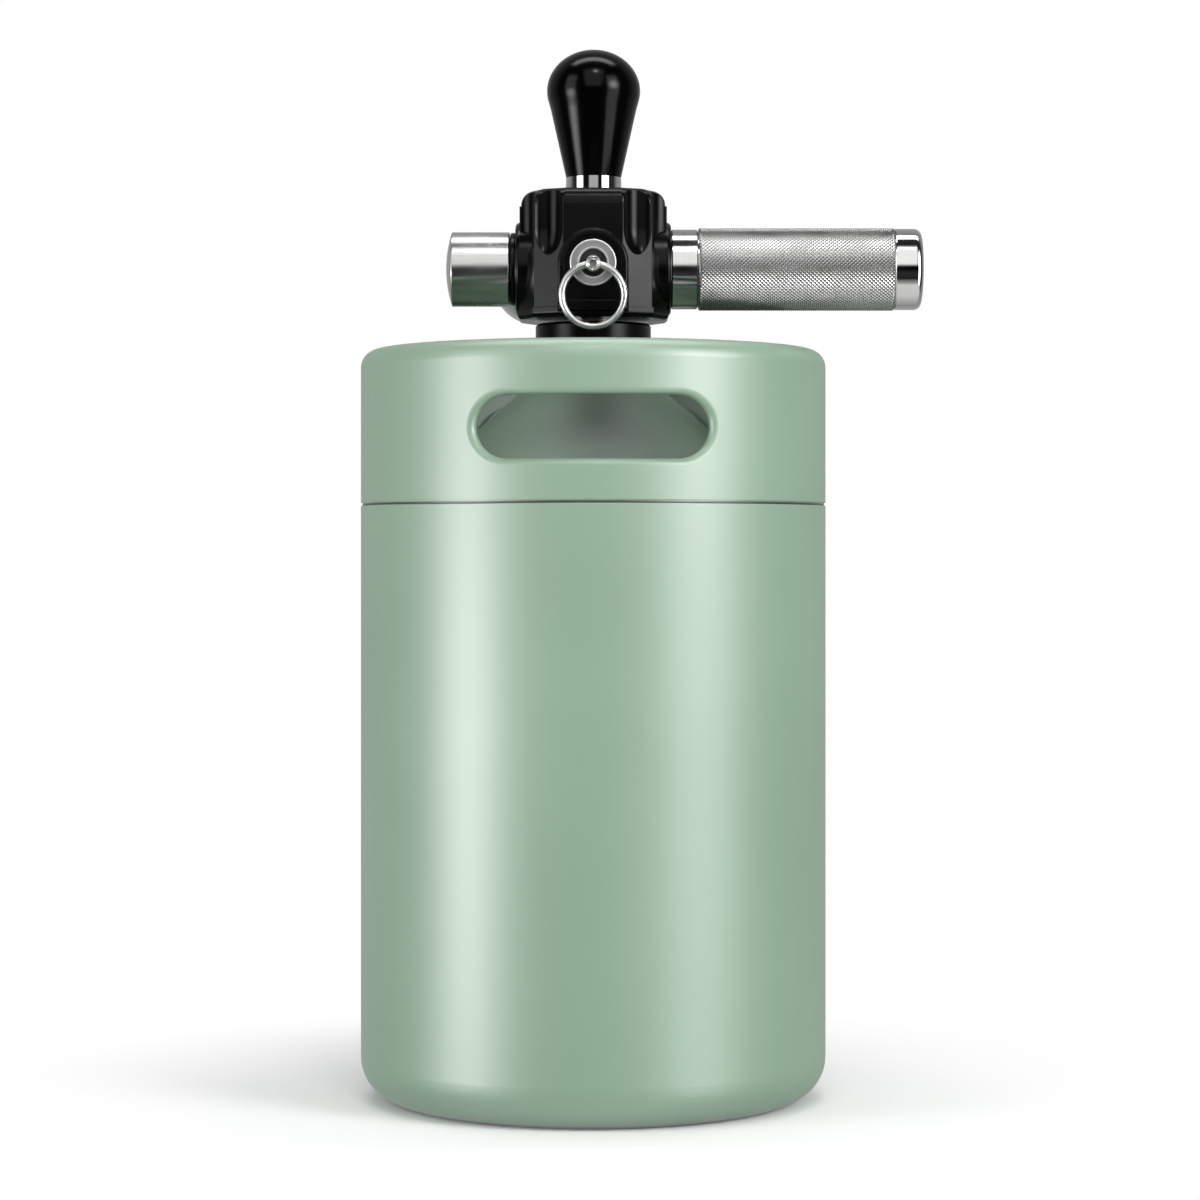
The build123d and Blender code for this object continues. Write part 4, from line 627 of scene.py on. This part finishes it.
surround = {
    # what steel and gloss see round them: share of the way from front to back, strength
    "frontToBack": [
        (0.0, 0.004), (0.08, 0.006), (0.34, 0.02), (0.5, 0.03), (0.72, 0.3), (1.0, 0.42),
    ],
    # and from straight down to the horizon
    "below": [(0.0, 0.75), (0.22, 0.8), (0.36, 0.3), (0.5, 0.02), (0.7, 0.03), (1.0, 0.0)],
    "fade": (-0.1, 0.7),  # the light from below fades between these, towards the back
    "behind": 0.35,  # to this share of it
    "ambient": 0.28,  # what matt surfaces get from all round
}


def ramp(tree, value, stops):
    made = addNode(tree, "ShaderNodeValToRGB", {"Fac": value})
    band = made.color_ramp
    band.interpolation = "EASE"
    while len(band.elements) < len(stops):
        band.elements.new(0.5)
    for element, (at, strength) in zip(band.elements, stops):
        element.position = at
        element.color = (strength, strength, strength, 1)
    return made.outputs["Color"]


sky = bpy.data.worlds.new("studio")
sky.use_nodes = True
tree = sky.node_tree
scene.world = sky
background = tree.nodes["Background"]
path = addNode(tree, "ShaderNodeLightPath")
skyPoint = addNode(tree, "ShaderNodeTexCoord").outputs["Generated"]
direction = addNode(tree, "ShaderNodeSeparateXYZ", {0: skyPoint})
toBack, toTop = direction.outputs["Y"], direction.outputs["Z"]
halfway = calc(tree, "MULTIPLY_ADD", toBack, 0.5)  # the node adds 0.5, its third value
around = ramp(tree, halfway, surround["frontToBack"])
under = ramp(tree, calc(tree, "ADD", toTop, 1), surround["below"])
fade = spread(tree, toBack, 1, surround["behind"], surround["fade"])
glossy = calc(tree, "MAXIMUM", around, calc(tree, "MULTIPLY", under, fade))
seen = blend(tree, path.outputs["Is Glossy Ray"], surround["ambient"], glossy)
strength = blend(tree, path.outputs["Is Camera Ray"], seen, 1.0)
tree.links.new(strength, background.inputs["Strength"])
background.inputs["Color"].default_value = (1, 1, 1, 1)

ground = {
    "radius": 0.55,
    "sides": 96,
    "shadow": 0.1,  # the paper is plain out to there, and pure white from the next on
    "white": 0.24,
    "color": 0.92,
    "bounce": 0.45,  # its colour for the light that it throws back on the keg
}
floorMesh = bmesh.new()
bmesh.ops.create_circle(floorMesh, cap_ends=True, segments=ground["sides"], radius=ground["radius"])
floorData = bpy.data.meshes.new("floor")
floorMesh.to_mesh(floorData)
floorMesh.free()
floor = bpy.data.objects.new("floor", floorData)
scene.collection.objects.link(floor)
floorFinish = bpy.data.materials.new("floorPaper")
floorFinish.use_nodes = True
tree = floorFinish.node_tree
tree.nodes.remove(tree.nodes["Principled BSDF"])
path = addNode(tree, "ShaderNodeLightPath")
white = blend(tree, path.outputs["Is Camera Ray"], ground["bounce"], ground["color"])
paper = addNode(tree, "ShaderNodeBsdfDiffuse", {"Color": white}).outputs[0]
backdrop = addNode(tree, "ShaderNodeEmission", {"Strength": 1.0}).outputs[0]
fromKeg = addNode(tree, "ShaderNodeVectorMath", {0: place(tree)}, operation="LENGTH").outputs["Value"]
faded = calc(
    tree, "MULTIPLY", path.outputs["Is Camera Ray"],
    between(tree, fromKeg, ground["shadow"], ground["white"]),
)
mixed = addNode(tree, "ShaderNodeMixShader", {0: faded, 1: paper, 2: backdrop}).outputs[0]
tree.links.new(mixed, tree.nodes["Material Output"].inputs["Surface"])
floorData.materials.append(floorFinish)
floor.visible_glossy = False  # steel sees the surround there
floor.visible_shadow = False

scene.view_settings.view_transform = "Standard"
print("studio set")
